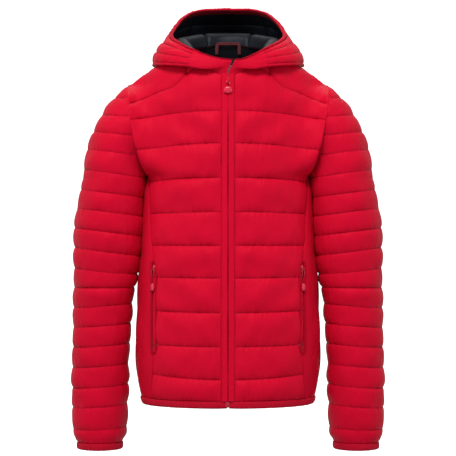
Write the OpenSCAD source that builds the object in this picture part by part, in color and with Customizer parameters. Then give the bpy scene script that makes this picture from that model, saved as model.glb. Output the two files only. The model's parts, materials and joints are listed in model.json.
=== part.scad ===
// Hooded quilted ski jacket, standing open as if worn: sewn shell panels over wadding and lining,
// a full-length front zip, two pocket zips, elastic-bound hem, cuffs and hood.
// Row frame: +Z up, the front faces -Y, the wearer's left is +X. The origin is where a hook bears
// on the hanging loop inside the back neck.

/* [Body] */
// Back neck to hem
body_l = 720; // [600:2:820]
// Half width of the body across the hips
hip_half = 184; // [165:1:205]
// Half width of the body at the armpits
chest_half = 162; // [150:1:175]
// Front depth at the hem, from the side line to the front zip
front_d = 122; // [105:1:140]
// Front depth at the neck seam
front_neck_d = 98; // [90:1:104]
// Back depth, from the side line
back_d = 112; // [100:1:125]
// Half width across the shoulder tips
shoulder_half = 200; // [185:1:215]
// Drop of the shoulder tips below the back neck
shoulder_drop = 88; // [80:1:100]
// Drop of the armpits below the back neck
armpit_drop = 268; // [250:1:290]

/* [Neck and hood] */
// Half width of the neck seam
neck_half = 80; // [74:1:86]
// Back depth of the neck seam
neck_back_d = 72; // [66:1:78]
// Drop of the front neck seam
neck_drop = 72; // [66:1:80]
// Half width of the hood opening
rim_half = 114; // [105:1:122]
// Height of the rear hood rim
rim_back_z = 82; // [70:1:92]
// How far the hood hangs down behind
hood_hang = 96; // [80:1:110]

/* [Sleeves] */
// Pivot of the sleeve to the cuff end
sleeve_l = 538; // [440:1:600]
// Half width of the upper sleeve
sleeve_half = 62; // [56:1:66]
// Half depth of the upper sleeve
sleeve_deep = 80; // [72:1:86]
// Half width of the cuff
cuff_half = 46; // [40:1:52]
// Largest swing of the sleeve, in degrees
swing_max = 35; // [20:1:38]

/* [Cloth] */
// Shell fabric stand-in thickness
shell_t = 1.5; // [1:0.1:2]
// Wadding thickness
wad_t = 4.5; // [3:0.1:6]
// Lining thickness
lining_t = 1; // [0.8:0.1:1.6]
// Space between two layers
layer_gap = 1; // [0.8:0.1:1.6]
// Room for the pocket bags between wadding and lining
pocket_room = 2.8; // [2.6:0.1:5]
// Gap at a seam between two panels, each side
seam_gap = 0.5; // [0.4:0.1:1]
// Height of the elastic binding on the hem and cuffs
binding_h = 14; // [10:1:18]

/* [Front zip] */
// Half width of the zip tape
tape_half = 15.5; // [14:0.5:17]
// Tape thickness
tape_t = 0.8; // [0.6:0.1:1]
// Thickness of the row of teeth
coil_t = 2; // [1.8:0.1:2.2]
// Half the slit between the two rows of teeth
slit_half = 0.8; // [0.8:0.1:1]
// Half the slit between the two front edges of the shell
lip_slit = 2.4; // [2:0.1:3]
// Slider length
slider_l = 16; // [13:1:18]
// Slider half width
slider_half = 5.5; // [4.5:0.1:6.5]

/* [Pocket zips] */
// How far the pocket zip is set in from the widest part of the hip
pocket_inset = 38; // [34:1:46]
// Top of the pocket zips below the back neck
pocket_top = 442; // [420:1:470]
// Length of the pocket zips
pocket_l = 170; // [140:1:190]
// Half the opening between the pocket lips
lip_half = 5.2; // [5:0.1:6]

/* [Hidden] */
red = [0.80, 0.06, 0.18];
dark = [0.07, 0.08, 0.10];
grey = [0.55, 0.55, 0.57];

// Depths of the layers below the outer surface.
wad_in = shell_t + layer_gap;
bag_in = wad_in + wad_t + layer_gap;
lining_in = wad_in + wad_t + pocket_room;
stack = lining_in + lining_t;
// The loop stands this far in front of the back neck's lining.
loop_clear = 3;
loop_t = 1.5;
mid_y = -(neck_back_d - stack - loop_clear - loop_t / 2);
round_n = 2.3;
shoulder_roll = 110;

function clamp(t) = min(1, max(0, t));
function mix(a, b, t) = a + (b - a) * t;
function smooth(t) = let (c = clamp(t)) c * c * (3 - 2 * c);
function unit(v) = v / norm(v);
// Moves a point from the body's middle plane to the row frame.
function placed(p) = [p[0], p[1] + mid_y, p[2]];

/* ---- outlines of the body, all from the driving sizes ---- */
hem_z = -body_l;
armpit_z = -armpit_drop;
tip_z = -shoulder_drop;
// Share of the way from the chest half width to the hip half width, against height from hem to armpit.
hip_share = [[0, 0.4], [0.034, 0.64], [0.086, 0.86], [0.19, 1], [0.4, 0.95], [0.5, 0.86],
             [0.578, 0.73], [0.707, 0.45], [0.81, 0.27], [0.914, 0.18], [1, 0]];
function side_t(z) = (z - hem_z) / (armpit_z - hem_z);
function body_half(z) = mix(chest_half, hip_half, lookup(clamp(side_t(z)), hip_share));
// Half width of the front at a height: the side below the armpit, the armhole edge above it.
arm_share = [[0, 0], [0.15, 0.29], [0.3, 0.52], [0.53, 0.73], [0.76, 0.9], [0.93, 0.99], [1, 1]];
function arm_t(z) = (z - armpit_z) / (tip_z - armpit_z);
function edge_half(z) = z < armpit_z ? body_half(z)
    : mix(chest_half, shoulder_half, lookup(clamp(arm_t(z)), arm_share));
// Half depth of the armhole at a height.
armhole_deep = sleeve_deep - 4;
function arm_half(z) = z < armpit_z ? 0
    : armhole_deep * sqrt(max(0, 1 - pow(2 * clamp(arm_t(z)) - 1, 2)));
function front_at(z) = mix(front_d, front_neck_d, (z - hem_z) / (-neck_drop - hem_z));
back_share = [[0, 0.97], [0.12, 1], [0.4, 0.9], [0.72, 1.02], [0.9, 0.88], [1, 0.64]];
function back_at(z) = back_d * lookup(clamp((z - hem_z) / -hem_z), back_share);
// Fullness across the body: a superellipse below the armpit that opens towards the armhole.
function across(share, z) = pow(max(0, 1 - pow(clamp(share), round_n)),
    mix(1 / round_n, 0.85, smooth(arm_t(z))));
// The armhole stands open at its edge, and that fullness fades towards the middle of the panel.
function arm_full(x, z) = arm_half(z) * pow(clamp(x / edge_half(z)), 8);

// Top outline: the neck curve, then the shoulder line.
function shoulder_line(x) = mix(-8, tip_z, (x - neck_half) / (shoulder_half - neck_half));
function front_top(x) = x < neck_half ? -neck_drop + (neck_drop - 8) * pow(x / neck_half, 2.2) : shoulder_line(x);
function back_top(x) = x < neck_half ? 5 - 13 * pow(x / neck_half, 2) : shoulder_line(x);
function neck_y(x, deep) = x < neck_half ? deep * sqrt(1 - pow(x / neck_half, 2)) : 0;
function roll(h) = sqrt(max(0, 1 - pow(1 - clamp(h / shoulder_roll), 2)));
// A point of the front or back at x and height z, under a top outline.
function torso_y(x, z, top_z, deep) = max(seam_gap,
    mix(neck_y(x, deep), deep * across(x / edge_half(z), z), roll(top_z - z)) + arm_full(x, z));
function front_point(x, z) = placed([x, -torso_y(x, z, front_top(x), front_at(z)), z]);
function back_point(x, z) = placed([x, torso_y(x, z, back_top(x), back_at(z)), z]);
// Cloth stops short of the neck curve but runs right up to the shoulder ridge.
function top_drop(x, inset) = (seam_gap + inset) * clamp((neck_half - x) / 12);

// The seam between the front and the side panel, which the pocket zip is set in.
pocket_low = pocket_top + pocket_l;
pocket_x = hip_half - pocket_inset;
function seam_x(z) = lookup(z, [[hem_z, pocket_x + 6], [-pocket_low - 60, pocket_x + 4],
    [-pocket_low, pocket_x], [-pocket_top, pocket_x], [-pocket_top + 50, pocket_x + 6], [armpit_z, chest_half - 3]]);
// Half the gap at that seam: the lips stand open where the zip is.
function lip_at(z) = seam_gap + (lip_half - seam_gap)
    * smooth((z + pocket_low + 12) / 12) * smooth((-pocket_top + 12 - z) / 12);
hem_top_z = hem_z + binding_h;

// Patches as functions of (u, v), each from 0 to 1, v upwards; u runs so that the cloth faces outwards.
function edge_x(z, inset) = z < armpit_z ? seam_x(z) - max(seam_gap, inset == 0 ? lip_at(z) : inset)
    : edge_half(z) - seam_gap - inset;
// Columns crowd towards the neck corner and rows towards the shoulder, where the cloth curves most.
function spread(u, inner, outer) = u < 0.5 ? mix(inner, neck_half, sin(180 * u)) : mix(neck_half, outer, 2 * u - 1);
function rise(v) = 1 - pow(1 - v, 1.6);
function front_patch(inner, inset, low) = function (u, v) let (
    w = rise(v),
    outer = shoulder_half - seam_gap - inset,
    x_top = spread(u, inner, outer),
    x = mix(inner, edge_x(mix(low, tip_z - seam_gap - inset, w), inset), (x_top - inner) / (outer - inner)),
    z = mix(low, front_top(x_top) - top_drop(x_top, inset), w)
) front_point(x, z);
function back_edge_x(z, inset) = z < armpit_z ? seam_x(z) - seam_gap - inset : edge_half(z) - seam_gap - inset;
function back_patch(inset, low) = function (u, v) let (
    w = rise(v),
    outer = shoulder_half - seam_gap - inset,
    x_top = spread(abs(1 - 2 * u), 0, outer),
    x = x_top / outer * back_edge_x(mix(low, tip_z - seam_gap - inset, w), inset),
    z = mix(low, back_top(x_top) - top_drop(x_top, inset), w),
    p = back_point(x, z)
) [u < 0.5 ? x : -x, p[1], z];
// The side panel goes round the side from the front seam to the back seam.
function side_angle(x, half) = acos(pow(clamp(x / half), round_n / 2));
function side_patch(low, inset) = function (u, v) let (
    z = mix(low, armpit_z - seam_gap - 8 * inset, v),
    half = body_half(z),
    a = mix(-side_angle(seam_x(z) + max(lip_at(z), inset), half), side_angle(seam_x(z) + seam_gap + inset, half), u),
    deep = a < 0 ? -front_at(z) : back_at(z)
) placed([half * pow(cos(a), 2 / round_n), deep * pow(abs(sin(a)), 2 / round_n), z]);

// A closed sheet of cloth between two depths below a patch; a ring joins its two side edges.
function normal_of(f, u, v, ring) = let (
    e = 0.004,
    du = ring ? f(u + e, v) - f(u - e, v) : f(min(1, u + e), v) - f(max(0, u - e), v),
    dv = f(u, min(1, v + e)) - f(u, max(0, v - e))
) unit(cross(du, dv));
module sheet(f, nu, nv, outer, inner, ring = false) {
    cols = ring ? nu : nu + 1;
    n = cols * (nv + 1);
    skin = function (depth) [for (j = [0:nv]) for (i = [0:cols - 1])
        f(i / nu, j / nv) - depth * normal_of(f, i / nu, j / nv, ring)];
    id = function (i, j) j * cols + (i % cols);
    faces = [
        for (j = [0:nv - 1]) for (i = [0:nu - 1]) let (
            a = id(i, j), b = id(i + 1, j), c = id(i + 1, j + 1), d = id(i, j + 1)
        ) each [[a, d, c], [a, c, b], [n + a, n + c, n + d], [n + a, n + b, n + c]],
        for (i = [0:nu - 1]) let (a = id(i, 0), b = id(i + 1, 0)) each [[a, b, n + b], [a, n + b, n + a]],
        for (i = [0:nu - 1]) let (a = id(i, nv), b = id(i + 1, nv)) each [[a, n + b, b], [a, n + a, n + b]],
        if (!ring) for (j = [0:nv - 1]) let (a = id(0, j), b = id(0, j + 1)) each [[a, n + b, b], [a, n + a, n + b]],
        if (!ring) for (j = [0:nv - 1]) let (a = id(nu, j), b = id(nu, j + 1)) each [[a, b, n + b], [a, n + b, n + a]]
    ];
    polyhedron(concat(skin(outer), skin(inner)), faces, convexity = 8);
}
module right_of() { mirror([1, 0, 0]) children(); }

/* ---- body ---- */
wad_inset = 18;
lining_inset = 8;
zip_clear = 4;
// Rows of faces up a panel, so that they stay as tall when the body gets longer.
function rows(step) = ceil(body_l / step);
module front_panel_left() { color(red) sheet(front_patch(lip_slit, 0, hem_top_z), 12, rows(40), 0, shell_t); }
module front_wadding_left() {
    color("white") sheet(front_patch(tape_half + zip_clear, wad_inset, hem_top_z + 4), 8, rows(60), wad_in, wad_in + wad_t);
}
module front_lining_left() {
    color(dark) sheet(front_patch(tape_half + zip_clear, lining_inset, hem_top_z), 8, rows(56), lining_in, stack);
}
module side_panel_left() { color(red) sheet(side_patch(hem_top_z, 0), 6, rows(60), 0, shell_t); }
module side_lining_left() { color(dark) sheet(side_patch(hem_top_z, lining_inset), 5, rows(90), lining_in, stack); }
module back_panel() { color(red) sheet(back_patch(0, hem_top_z), 20, rows(45), 0, shell_t); }
module back_wadding() { color("white") sheet(back_patch(wad_inset, hem_top_z + 4), 16, rows(60), wad_in, wad_in + wad_t); }
module back_lining() { color(dark) sheet(back_patch(lining_inset, hem_top_z), 16, rows(60), lining_in, stack); }

// Folded elastic binding round the hem, open at the front zip; u goes round from the right of the zip.
hem_open = 17;
function hem_patch() = function (u, v) let (
    z = mix(hem_z, hem_top_z - seam_gap, v),
    half = body_half(z),
    start = acos(pow(1 - pow(hem_open / half, round_n), 0.5)),
    turn = mix(-90 + start, 270 - start, u),
    deep = sin(turn) < 0 ? front_at(z) : back_at(z)
) placed([
    half * sign(cos(turn)) * pow(abs(cos(turn)), 2 / round_n),
    deep * sign(sin(turn)) * pow(abs(sin(turn)), 2 / round_n), z
]);
module hem_binding() { color([0.7, 0.05, 0.15]) sheet(hem_patch(), 44, 1, -0.6, stack + 0.6); }

/* ---- front zip, laid along the straight line from the neck seam to the hem ---- */
zip_lean = atan((front_d - front_neck_d) / (body_l - neck_drop));
zip_l = (body_l - neck_drop) / cos(zip_lean);
zip_low = -zip_l + 3;
plate_t = 1.2;
plate_in = shell_t + 0.5;
slider_play = 0.3;
teeth_in = plate_in + plate_t + slider_play;
tape_in = teeth_in + (coil_t - tape_t) / 2;
teeth_half = 2.6;
box_l = 12;
stop_l = 3;
zip_top = -4;
slider_z = zip_top - stop_l - slider_l - 1;
zip_travel = slider_z - zip_low - box_l - 2;
module on_zip() {
    translate(placed([0, -front_neck_d, -neck_drop])) rotate([-zip_lean, 0, 0]) children();
}
module bar(x0, x1, y0, y1, z0, z1) { translate([x0, y0, z0]) cube([x1 - x0, y1 - y0, z1 - z0]); }
module zip_tape_left() {
    color(red) on_zip() bar(teeth_half + 0.1, tape_half, tape_in, tape_in + tape_t, zip_low + 1, zip_top);
}
module zip_teeth_left() {
    color("crimson") on_zip()
        bar(slit_half, teeth_half, teeth_in, teeth_in + coil_t, zip_low + box_l, zip_top - stop_l);
}
module zip_top_stop_left() {
    color("silver") on_zip() bar(slit_half, teeth_half, teeth_in, teeth_in + coil_t, zip_top - stop_l + 0.1, zip_top);
}
// The retainer box on one tape takes the pin of the other.
module zip_box() {
    color(grey) on_zip() difference() {
        bar(-5, teeth_half, teeth_in - 0.9, teeth_in + coil_t + 0.9, zip_low, zip_low + box_l - 1);
        bar(-tape_half, -teeth_half, tape_in - 0.1, tape_in + tape_t + 0.1, zip_low - 1, zip_low + box_l);
        bar(slit_half - 0.2, teeth_half + 1, teeth_in - 0.15, teeth_in + coil_t + 0.15, zip_low - 1, zip_low + box_l);
    }
}
module zip_pin() {
    color(grey) on_zip() bar(slit_half, teeth_half, teeth_in, teeth_in + coil_t, zip_low + 1, zip_low + box_l - 0.2);
}
// A strip of cloth behind the whole zip.
flap_in = teeth_in + coil_t + plate_t + 1.2;
module zip_underflap() { color(red) on_zip() bar(-tape_half, tape_half, flap_in, flap_in + 1, zip_low, zip_top - 2); }

/* ---- sliders and pulls, drawn about the zip's own line; -y is outwards ---- */
bail_r = 1.05;
pin_r = 1;
module plate(half, long, y0) {
    translate([0, y0 + plate_t, 0]) rotate([90, 0, 0]) linear_extrude(plate_t)
        polygon([[-half, 2], [-half + 2, 0], [half - 2, 0], [half, 2], [half, long - 5], [half - 2, long],
            [-half + 2, long], [-half, long - 5]]);
}
module slider(half, long, y0, pivot_y) {
    difference() {
        union() {
            plate(half, long, y0);
            plate(half, long, y0 + plate_t + coil_t + 2 * slider_play);
            bar(-0.45, 0.45, y0 + plate_t / 2, y0 + plate_t + coil_t + 0.8, long - 8, long - 1);
            bar(-1.5, 1.5, pivot_y - 2.2, y0 + plate_t / 2, long - 11, long - 5);
        }
        translate([-5, pivot_y, long - 8]) rotate([0, 90, 0]) cylinder(h = 10, r = bail_r, $fn = 32);
    }
}
module pull_wire(spread, drop) {
    translate([-spread, 0, 0]) rotate([0, 90, 0]) cylinder(h = 2 * spread, r = pin_r, $fn = 32);
    for (side = [-1, 1]) {
        translate([side * spread, 0, -drop]) cylinder(h = drop, r = pin_r, $fn = 32);
        translate([side * spread, 0, 0]) sphere(r = pin_r, $fn = 32);
    }
}
main_pivot_y = -1.8;
main_pivot_z = slider_z + slider_l - 8;
main_spread = 3.4;
main_drop = 12;
module main_slider() { color(red) on_zip() translate([0, 0, slider_z]) slider(slider_half, slider_l, plate_in, main_pivot_y); }
module on_main_pivot() { on_zip() translate([0, main_pivot_y, main_pivot_z]) children(); }
module main_pull_loop() { color("crimson") on_main_pivot() pull_wire(main_spread, main_drop); }
grip_half = 8.5;
grip_l = 13;
grip_t = 5;
module main_pull_grip() {
    color(red) on_main_pivot() translate([0, grip_t / 2 - 1.2, -main_drop - grip_l + 2.5]) difference() {
        rotate([90, 0, 0]) linear_extrude(grip_t) polygon([[-5, 0], [5, 0], [grip_half, 3], [grip_half, 7],
            [main_spread + 1.6, grip_l], [-main_spread - 1.6, grip_l], [-grip_half, 7], [-grip_half, 3]]);
        for (side = [-1, 1]) translate([side * main_spread, 1.2 - grip_t / 2, grip_l - 2.6])
            cylinder(h = 3, r = pin_r + 0.02, $fn = 32);
    }
}

/* ---- pocket zips ---- */
pocket_top_p = front_point(pocket_x, -pocket_top);
pocket_low_p = front_point(pocket_x, -pocket_low);
pocket_mid_p = front_point(pocket_x, -pocket_top - pocket_l / 2);
pocket_lean = atan((pocket_top_p[1] - pocket_low_p[1]) / pocket_l);
pocket_run = pocket_l / cos(pocket_lean);
pocket_slope = front_point(pocket_x + 4, -pocket_top - pocket_l / 2) - front_point(pocket_x - 4, -pocket_top - pocket_l / 2);
pocket_turn = atan(pocket_slope[1] / pocket_slope[0]);
pocket_sag = (pocket_top_p[1] + pocket_low_p[1]) / 2 - pocket_mid_p[1];
pk_long = 12;
pk_half = 4;
pk_plate_in = 0.9;
pk_teeth_in = pk_plate_in + plate_t + slider_play;
pk_tape_in = pk_teeth_in + coil_t - tape_t;
pk_tape_half = 11;
pk_z = -pk_long - 3;
pocket_travel = pocket_run - pk_long - 8;
module on_pocket() {
    translate(pocket_top_p - [0, pocket_sag / 2, 0]) rotate([-pocket_lean, 0, 0]) rotate([0, 0, pocket_turn]) children();
}
module pocket_tape_left() {
    color(red) on_pocket() for (side = [0, 1]) mirror([side, 0, 0])
        bar(2.5, pk_tape_half, pk_tape_in, pk_tape_in + tape_t, -pocket_run - 6, 4);
    color(red) on_pocket() bar(-3, 3, pk_tape_in, pk_tape_in + tape_t, 0.5, 4);
}
module pocket_teeth_left() {
    color("crimson") on_pocket() for (side = [0, 1]) mirror([side, 0, 0])
        bar(slit_half, 2.4, pk_teeth_in, pk_teeth_in + coil_t, -pocket_run, -0.5);
    color("crimson") on_pocket() bar(-2.4, 2.4, pk_teeth_in, pk_teeth_in + coil_t, -pocket_run - 3, -pocket_run);
}
// The pocket bag lies flat behind the wadding.
// The bag keeps its distance from the front zip and from the hem.
bag_from_zip = 24.5;
bag_from_hem = 46;
bag_wide = pocket_x - 14 - tape_half - bag_from_zip;
bag_low = body_l - bag_from_hem;
function bag_patch() = function (u, v) front_point(
    mix(pocket_x - 14 - bag_wide, pocket_x - 14, u), mix(-bag_low, -pocket_top + 14, v));
module pocket_bag_left() { color(dark) sheet(bag_patch(), 6, 6, bag_in + 0.2, lining_in - 0.5); }
pk_pivot_y = -2.4;
pk_pivot_z = pk_z + pk_long - 8;
module pocket_slider_left() {
    color(red) on_pocket() translate([0, 0, pk_z]) slider(pk_half, pk_long, pk_plate_in, pk_pivot_y);
}
module pocket_pull_left() {
    color("crimson") on_pocket() translate([0, pk_pivot_y, pk_pivot_z]) {
        pull_wire(2.8, 28);
        translate([0, 1.6, -42]) rotate([90, 0, 0]) linear_extrude(4)
            polygon([[-2.6, 0], [2.6, 0], [4.4, 3], [4.4, 7], [3.8, 15], [-3.8, 15], [-4.4, 7], [-4.4, 3]]);
    }
}

/* ---- sleeves ---- */
swing_x = chest_half + 4 + sleeve_half;
swing_z = armpit_z - 6;
lap_gap = 1.2;
lap_out = 60;
lap_in = 45;
cap_out = swing_max + 3;
ring_n = 24;
cuff_z = swing_z - sleeve_l;
// Sideways shift of the sleeve's centre, its half width and half depth, against the share of the way down.
sleeve_shift = [[0, 0], [0.07, 0.27], [0.18, 0.43], [0.26, 0.54], [0.42, 0.73], [0.56, 0.88], [0.75, 0.97], [1, 1]];
sleeve_wide = [[0, 1], [0.07, 1.03], [0.18, 1.09], [0.26, 1.05], [0.42, 0.97], [0.56, 0.93], [0.88, 0.89], [0.945, 0.86],
    [0.975, 0.76], [1, 0.742]];
sleeve_depth = [[0, 1], [0.2, 0.95], [0.42, 0.82], [0.7, 0.72], [0.94, 0.65], [0.975, 0.6], [1, 0.59]];
cuff_shift = 28;
function sleeve_ring(theta, d) = let (
    a = mix(sleeve_half * lookup(d, sleeve_wide), cuff_half, smooth((d - 0.94) / 0.06)),
    b = sleeve_deep * lookup(d, sleeve_depth)
) placed([swing_x + cuff_shift * lookup(d, sleeve_shift) + a * cos(theta), b * sin(theta), mix(swing_z, cuff_z, d)]);
// The round lap about the swing axis: every point keeps its distance from that axis.
function lap_point(theta, e, grow) = placed([
    swing_x + (sleeve_half + grow) * cos(theta) * cos(e), (sleeve_deep + grow) * sin(theta),
    swing_z + (sleeve_half + grow) * abs(cos(theta)) * sin(e)]);
tube_share = 0.82;
function ring_angle(u) = 360 * (u + 0.5 / ring_n);
function sleeve_patch(low_d, lapped, first_d = 0) = function (u, v) let (
    theta = ring_angle(u),
    top = lapped ? (cos(theta) > 0 ? lap_out : lap_in) : 0,
    t = lapped ? min(1, v / tube_share) : v
) (lapped && v > tube_share) ? lap_point(theta, top * (v - tube_share) / (1 - tube_share), 0)
    : sleeve_ring(theta, mix(low_d, first_d, t));
hem_share = (binding_h + seam_gap) / sleeve_l;
// The lap is built on its own so that its thickness always goes towards the swing axis.
lap_rows = 5;
tube_rows = 11;
function sleeve_skin(in) = [
    for (j = [0:tube_rows]) for (i = [0:ring_n - 1])
        let (theta = ring_angle(i / ring_n), d = mix(1 - hem_share, 0, j / tube_rows),
            p = sleeve_ring(theta, d), q = sleeve_ring(theta + 3, d) - sleeve_ring(theta - 3, d),
            out = unit([q[1], -q[0], 0])) p - in * out,
    for (j = [1:lap_rows]) for (i = [0:ring_n - 1])
        let (theta = ring_angle(i / ring_n), top = cos(theta) > 0 ? lap_out : lap_in)
            lap_point(theta, top * j / lap_rows, -in)
];
module skins(outer, inner, cols, rows) {
    n = cols * (rows + 1);
    id = function (i, j) j * cols + (i % cols);
    faces = [
        for (j = [0:rows - 1]) for (i = [0:cols - 1]) let (
            a = id(i, j), b = id(i + 1, j), c = id(i + 1, j + 1), d = id(i, j + 1)
        ) each [[a, d, c], [a, c, b], [n + a, n + c, n + d], [n + a, n + b, n + c]],
        for (i = [0:cols - 1]) let (a = id(i, 0), b = id(i + 1, 0)) each [[a, b, n + b], [a, n + b, n + a]],
        for (i = [0:cols - 1]) let (a = id(i, rows), b = id(i + 1, rows)) each [[a, n + b, b], [a, n + a, n + b]]
    ];
    polyhedron(concat(outer, inner), faces, convexity = 8);
}
module sleeve_left() { color(red) skins(sleeve_skin(0), sleeve_skin(shell_t), ring_n, tube_rows + lap_rows); }
sleeve_lining_in = wad_in + wad_t + layer_gap;
module sleeve_wadding_left() {
    color("white") sheet(sleeve_patch(1 - hem_share - 0.01, false, 0.03), ring_n, 9, wad_in, wad_in + wad_t, true);
}
module sleeve_lining_left() {
    color(dark) sheet(sleeve_patch(1 - hem_share, false, 0.01), 20, 8, sleeve_lining_in, sleeve_lining_in + lining_t, true);
}
module cuff_binding_left() {
    color([0.7, 0.05, 0.15])
        sheet(sleeve_patch(1, false, 1 - hem_share + seam_gap / sleeve_l), ring_n, 1, -0.6, sleeve_lining_in + lining_t + 0.6, true);
}
// The cap goes from the armhole seam out over the shoulder and ends just outside the lap.
function armhole_point(theta) = let (
    z = mix(armpit_z, tip_z, (1 + cos(theta)) / 2),
    x = mix(chest_half, shoulder_half, lookup((1 + cos(theta)) / 2, arm_share))
) placed([x + seam_gap + 0.4, armhole_deep * sin(theta), z]);
function cap_patch() = function (u, v) let (
    theta = ring_angle(u),
    e = cos(theta) > 0 ? cap_out : 0,
    p0 = lap_point(theta, e, lap_gap + shell_t),
    p1 = armhole_point(theta),
    reach = norm(p1 - p0),
    t0 = reach * (cos(theta) > 0 ? 1.15 : 1) * unit([-cos(theta) * sin(e) + (1 - abs(cos(theta))) * 0.1, 0, cos(e)]),
    t1 = reach * [-1.1, 0, 0.55 * cos(theta)],
    v2 = v * v, v3 = v2 * v
) p0 * (2 * v3 - 3 * v2 + 1) + t0 * (v3 - 2 * v2 + v) + p1 * (3 * v2 - 2 * v3) + t1 * (v3 - v2);
module sleeve_cap_left() { color(red) sheet(cap_patch(), ring_n, 7, 0, shell_t, true); }

/* ---- hood ---- */
// Rows run from the front edge round the side to the back; each holds the outward reach and the height of
// eight points from the neck seam to the rim.
hood_rows = [
    [[0, 0], [1, 5], [2, 9], [3, 13], [4, 17], [5, 21], [5, 25], [5, 28]],
    [[0, 0], [4, 6], [10, 6], [15, 7], [18, 10], [19, 14], [18, 18], [17, 22]],
    [[0, 0], [9, 4], [28, -10], [50, -32], [64, -36], [64, -18], [48, 2], [30, 14]],
    [[0, 0], [10, 10], [32, 0], [60, -30], [78, -40], [72, -14], [58, 10], [38, 34]],
    [[0, 0], [8, 12], [31, 5], [64, -30], [90, -42], [92, -4], [72, 38], [44, 66]],
    [[0, 0], [8, 12], [32, 8], [70, -36], [104, -56], [114, -10], [84, 44], [24, 68]]
];
hood_last = len(hood_rows) - 1;
hood_grow = hood_hang / 96;
function spline(a, b, c, d, t) = 0.5 * (2 * b + (c - a) * t + (2 * a - 5 * b + 4 * c - d) * t * t
    + (3 * b - a - 3 * c + d) * t * t * t);
function hood_cell(i, j) = let (k = max(0, min(7, j)), r = hood_rows[i < 0 ? -i : (i > hood_last ? 2 * hood_last - i : i)])
    j > 7 ? 2 * r[7] - r[6] : (j < 0 ? 2 * r[0] - r[1] : r[k]);
function hood_along(i, s) = let (j = min(6, floor(s)), t = s - j)
    spline(hood_cell(i, j - 1), hood_cell(i, j), hood_cell(i, j + 1), hood_cell(i, j + 2), t);
function hood_reach(k, s) = let (i = min(hood_last - 1, floor(k)), t = k - i)
    spline(hood_along(i - 1, s), hood_along(i, s), hood_along(i + 1, s), hood_along(i + 2, s), t);
function neck_point(phi) = let (x = neck_half * sin(phi)) cos(phi) > 0
    ? [x, -front_neck_d * cos(phi), -neck_drop + (neck_drop - 8) * pow(abs(x) / neck_half, 2.2)]
    : [x, -neck_back_d * cos(phi), 5 - 13 * pow(x / neck_half, 2)];
// phi is measured from the front centre towards the wearer's left; v goes from the seam to the rim.
function hood_point(phi, v) = let (
    a = phi > 180 ? 360 - phi : phi,
    seam = neck_point(phi),
    c = hood_reach(a * hood_last / 180, 7 * v),
    lift = (rim_back_z - 73) * v * a / 180,
    wide = (rim_half - 116) / 36,
    out = [sin(phi), -cos(phi)],
    reach = c[0] * (a > 90 ? mix(1, hood_grow, (a - 90) / 90) : 1) * (1 + wide * 0.5 * v * abs(sin(phi)))
) placed([seam[0] + out[0] * reach, seam[1] + out[1] * reach, seam[2] + c[1] + lift]);
hood_seam = 148;
hood_front = 3;
hood_rim_v = 0.955;
hood_low_v = 0.02;
function hood_patch(phi0, phi1, v0, v1) = function (u, v) hood_point(mix(phi0, phi1, u), mix(v0, v1, v));
module hood_panel_left() {
    color(red) sheet(hood_patch(hood_front, hood_seam - 0.3, hood_low_v, hood_rim_v), 16, 12, 0, shell_t);
}
module hood_centre_panel() {
    color(red) sheet(hood_patch(hood_seam + 0.3, 359.7 - hood_seam, hood_low_v, hood_rim_v), 8, 12, 0, shell_t);
}
module hood_wadding() {
    color("white") sheet(hood_patch(hood_front + 5, 355 - hood_front, 0.06, hood_rim_v - 0.01), 24, 9, wad_in, wad_in + wad_t);
}
hood_lining_in = wad_in + wad_t + layer_gap;
module hood_lining() {
    color(dark) sheet(hood_patch(hood_front, 360 - hood_front, hood_low_v + 0.05, hood_rim_v - 0.06), 36, 12,
        hood_lining_in, hood_lining_in + lining_t);
}
module hood_binding() {
    color([0.7, 0.05, 0.15]) sheet(hood_patch(hood_front, 360 - hood_front, hood_rim_v + 0.006, 1), 44, 1,
        -0.6, hood_lining_in);
}

/* ---- hanging loop and labels ---- */
loop_half = 26;
loop_w = 6;
loop_leg = 22;
loop_foot = 9;
module hanging_loop() {
    color(red) {
        bar(-loop_half, loop_half, -loop_t / 2, loop_t / 2, 0, loop_w);
        for (side = [0, 1]) mirror([side, 0, 0]) {
            bar(loop_half - loop_w, loop_half, -loop_t / 2, loop_t / 2, -loop_leg, 1);
            bar(loop_half - loop_w, loop_half, -loop_t / 2, loop_foot, -loop_leg, -loop_leg + 3);
        }
    }
}
label_t = 0.6;
module neck_label() {
    patch = function (u, v) let (p = back_point(abs(22 - 44 * u), mix(-66, -34, v))) [22 - 44 * u, p[1], p[2]];
    color(grey) sheet(patch, 6, 4, stack + 2 * layer_gap, stack + 2 * layer_gap + label_t);
}
module care_label() {
    low = armpit_z - 330;
    patch = function (u, v) let (p = back_point(mix(120, 84, u), mix(low, low + 60, v))) p;
    color("white") sheet(patch, 3, 4, stack + layer_gap, stack + layer_gap + label_t);
}

module front_panel_right() { right_of() front_panel_left(); }
module side_panel_right() { right_of() side_panel_left(); }
module front_wadding_right() { right_of() front_wadding_left(); }
module front_lining_right() { right_of() front_lining_left(); }
module side_lining_right() { right_of() side_lining_left(); }
module sleeve_cap_right() { right_of() sleeve_cap_left(); }
module hood_panel_right() { right_of() hood_panel_left(); }
module zip_tape_right() { right_of() zip_tape_left(); }
module zip_teeth_right() { right_of() zip_teeth_left(); }
module zip_top_stop_right() { right_of() zip_top_stop_left(); }
module pocket_tape_right() { right_of() pocket_tape_left(); }
module pocket_teeth_right() { right_of() pocket_teeth_left(); }
module pocket_bag_right() { right_of() pocket_bag_left(); }
module sleeve_right() { right_of() sleeve_left(); }
module sleeve_wadding_right() { right_of() sleeve_wadding_left(); }
module sleeve_lining_right() { right_of() sleeve_lining_left(); }
module cuff_binding_right() { right_of() cuff_binding_left(); }
module pocket_slider_right() { right_of() pocket_slider_left(); }
module pocket_pull_right() { right_of() pocket_pull_left(); }

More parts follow.
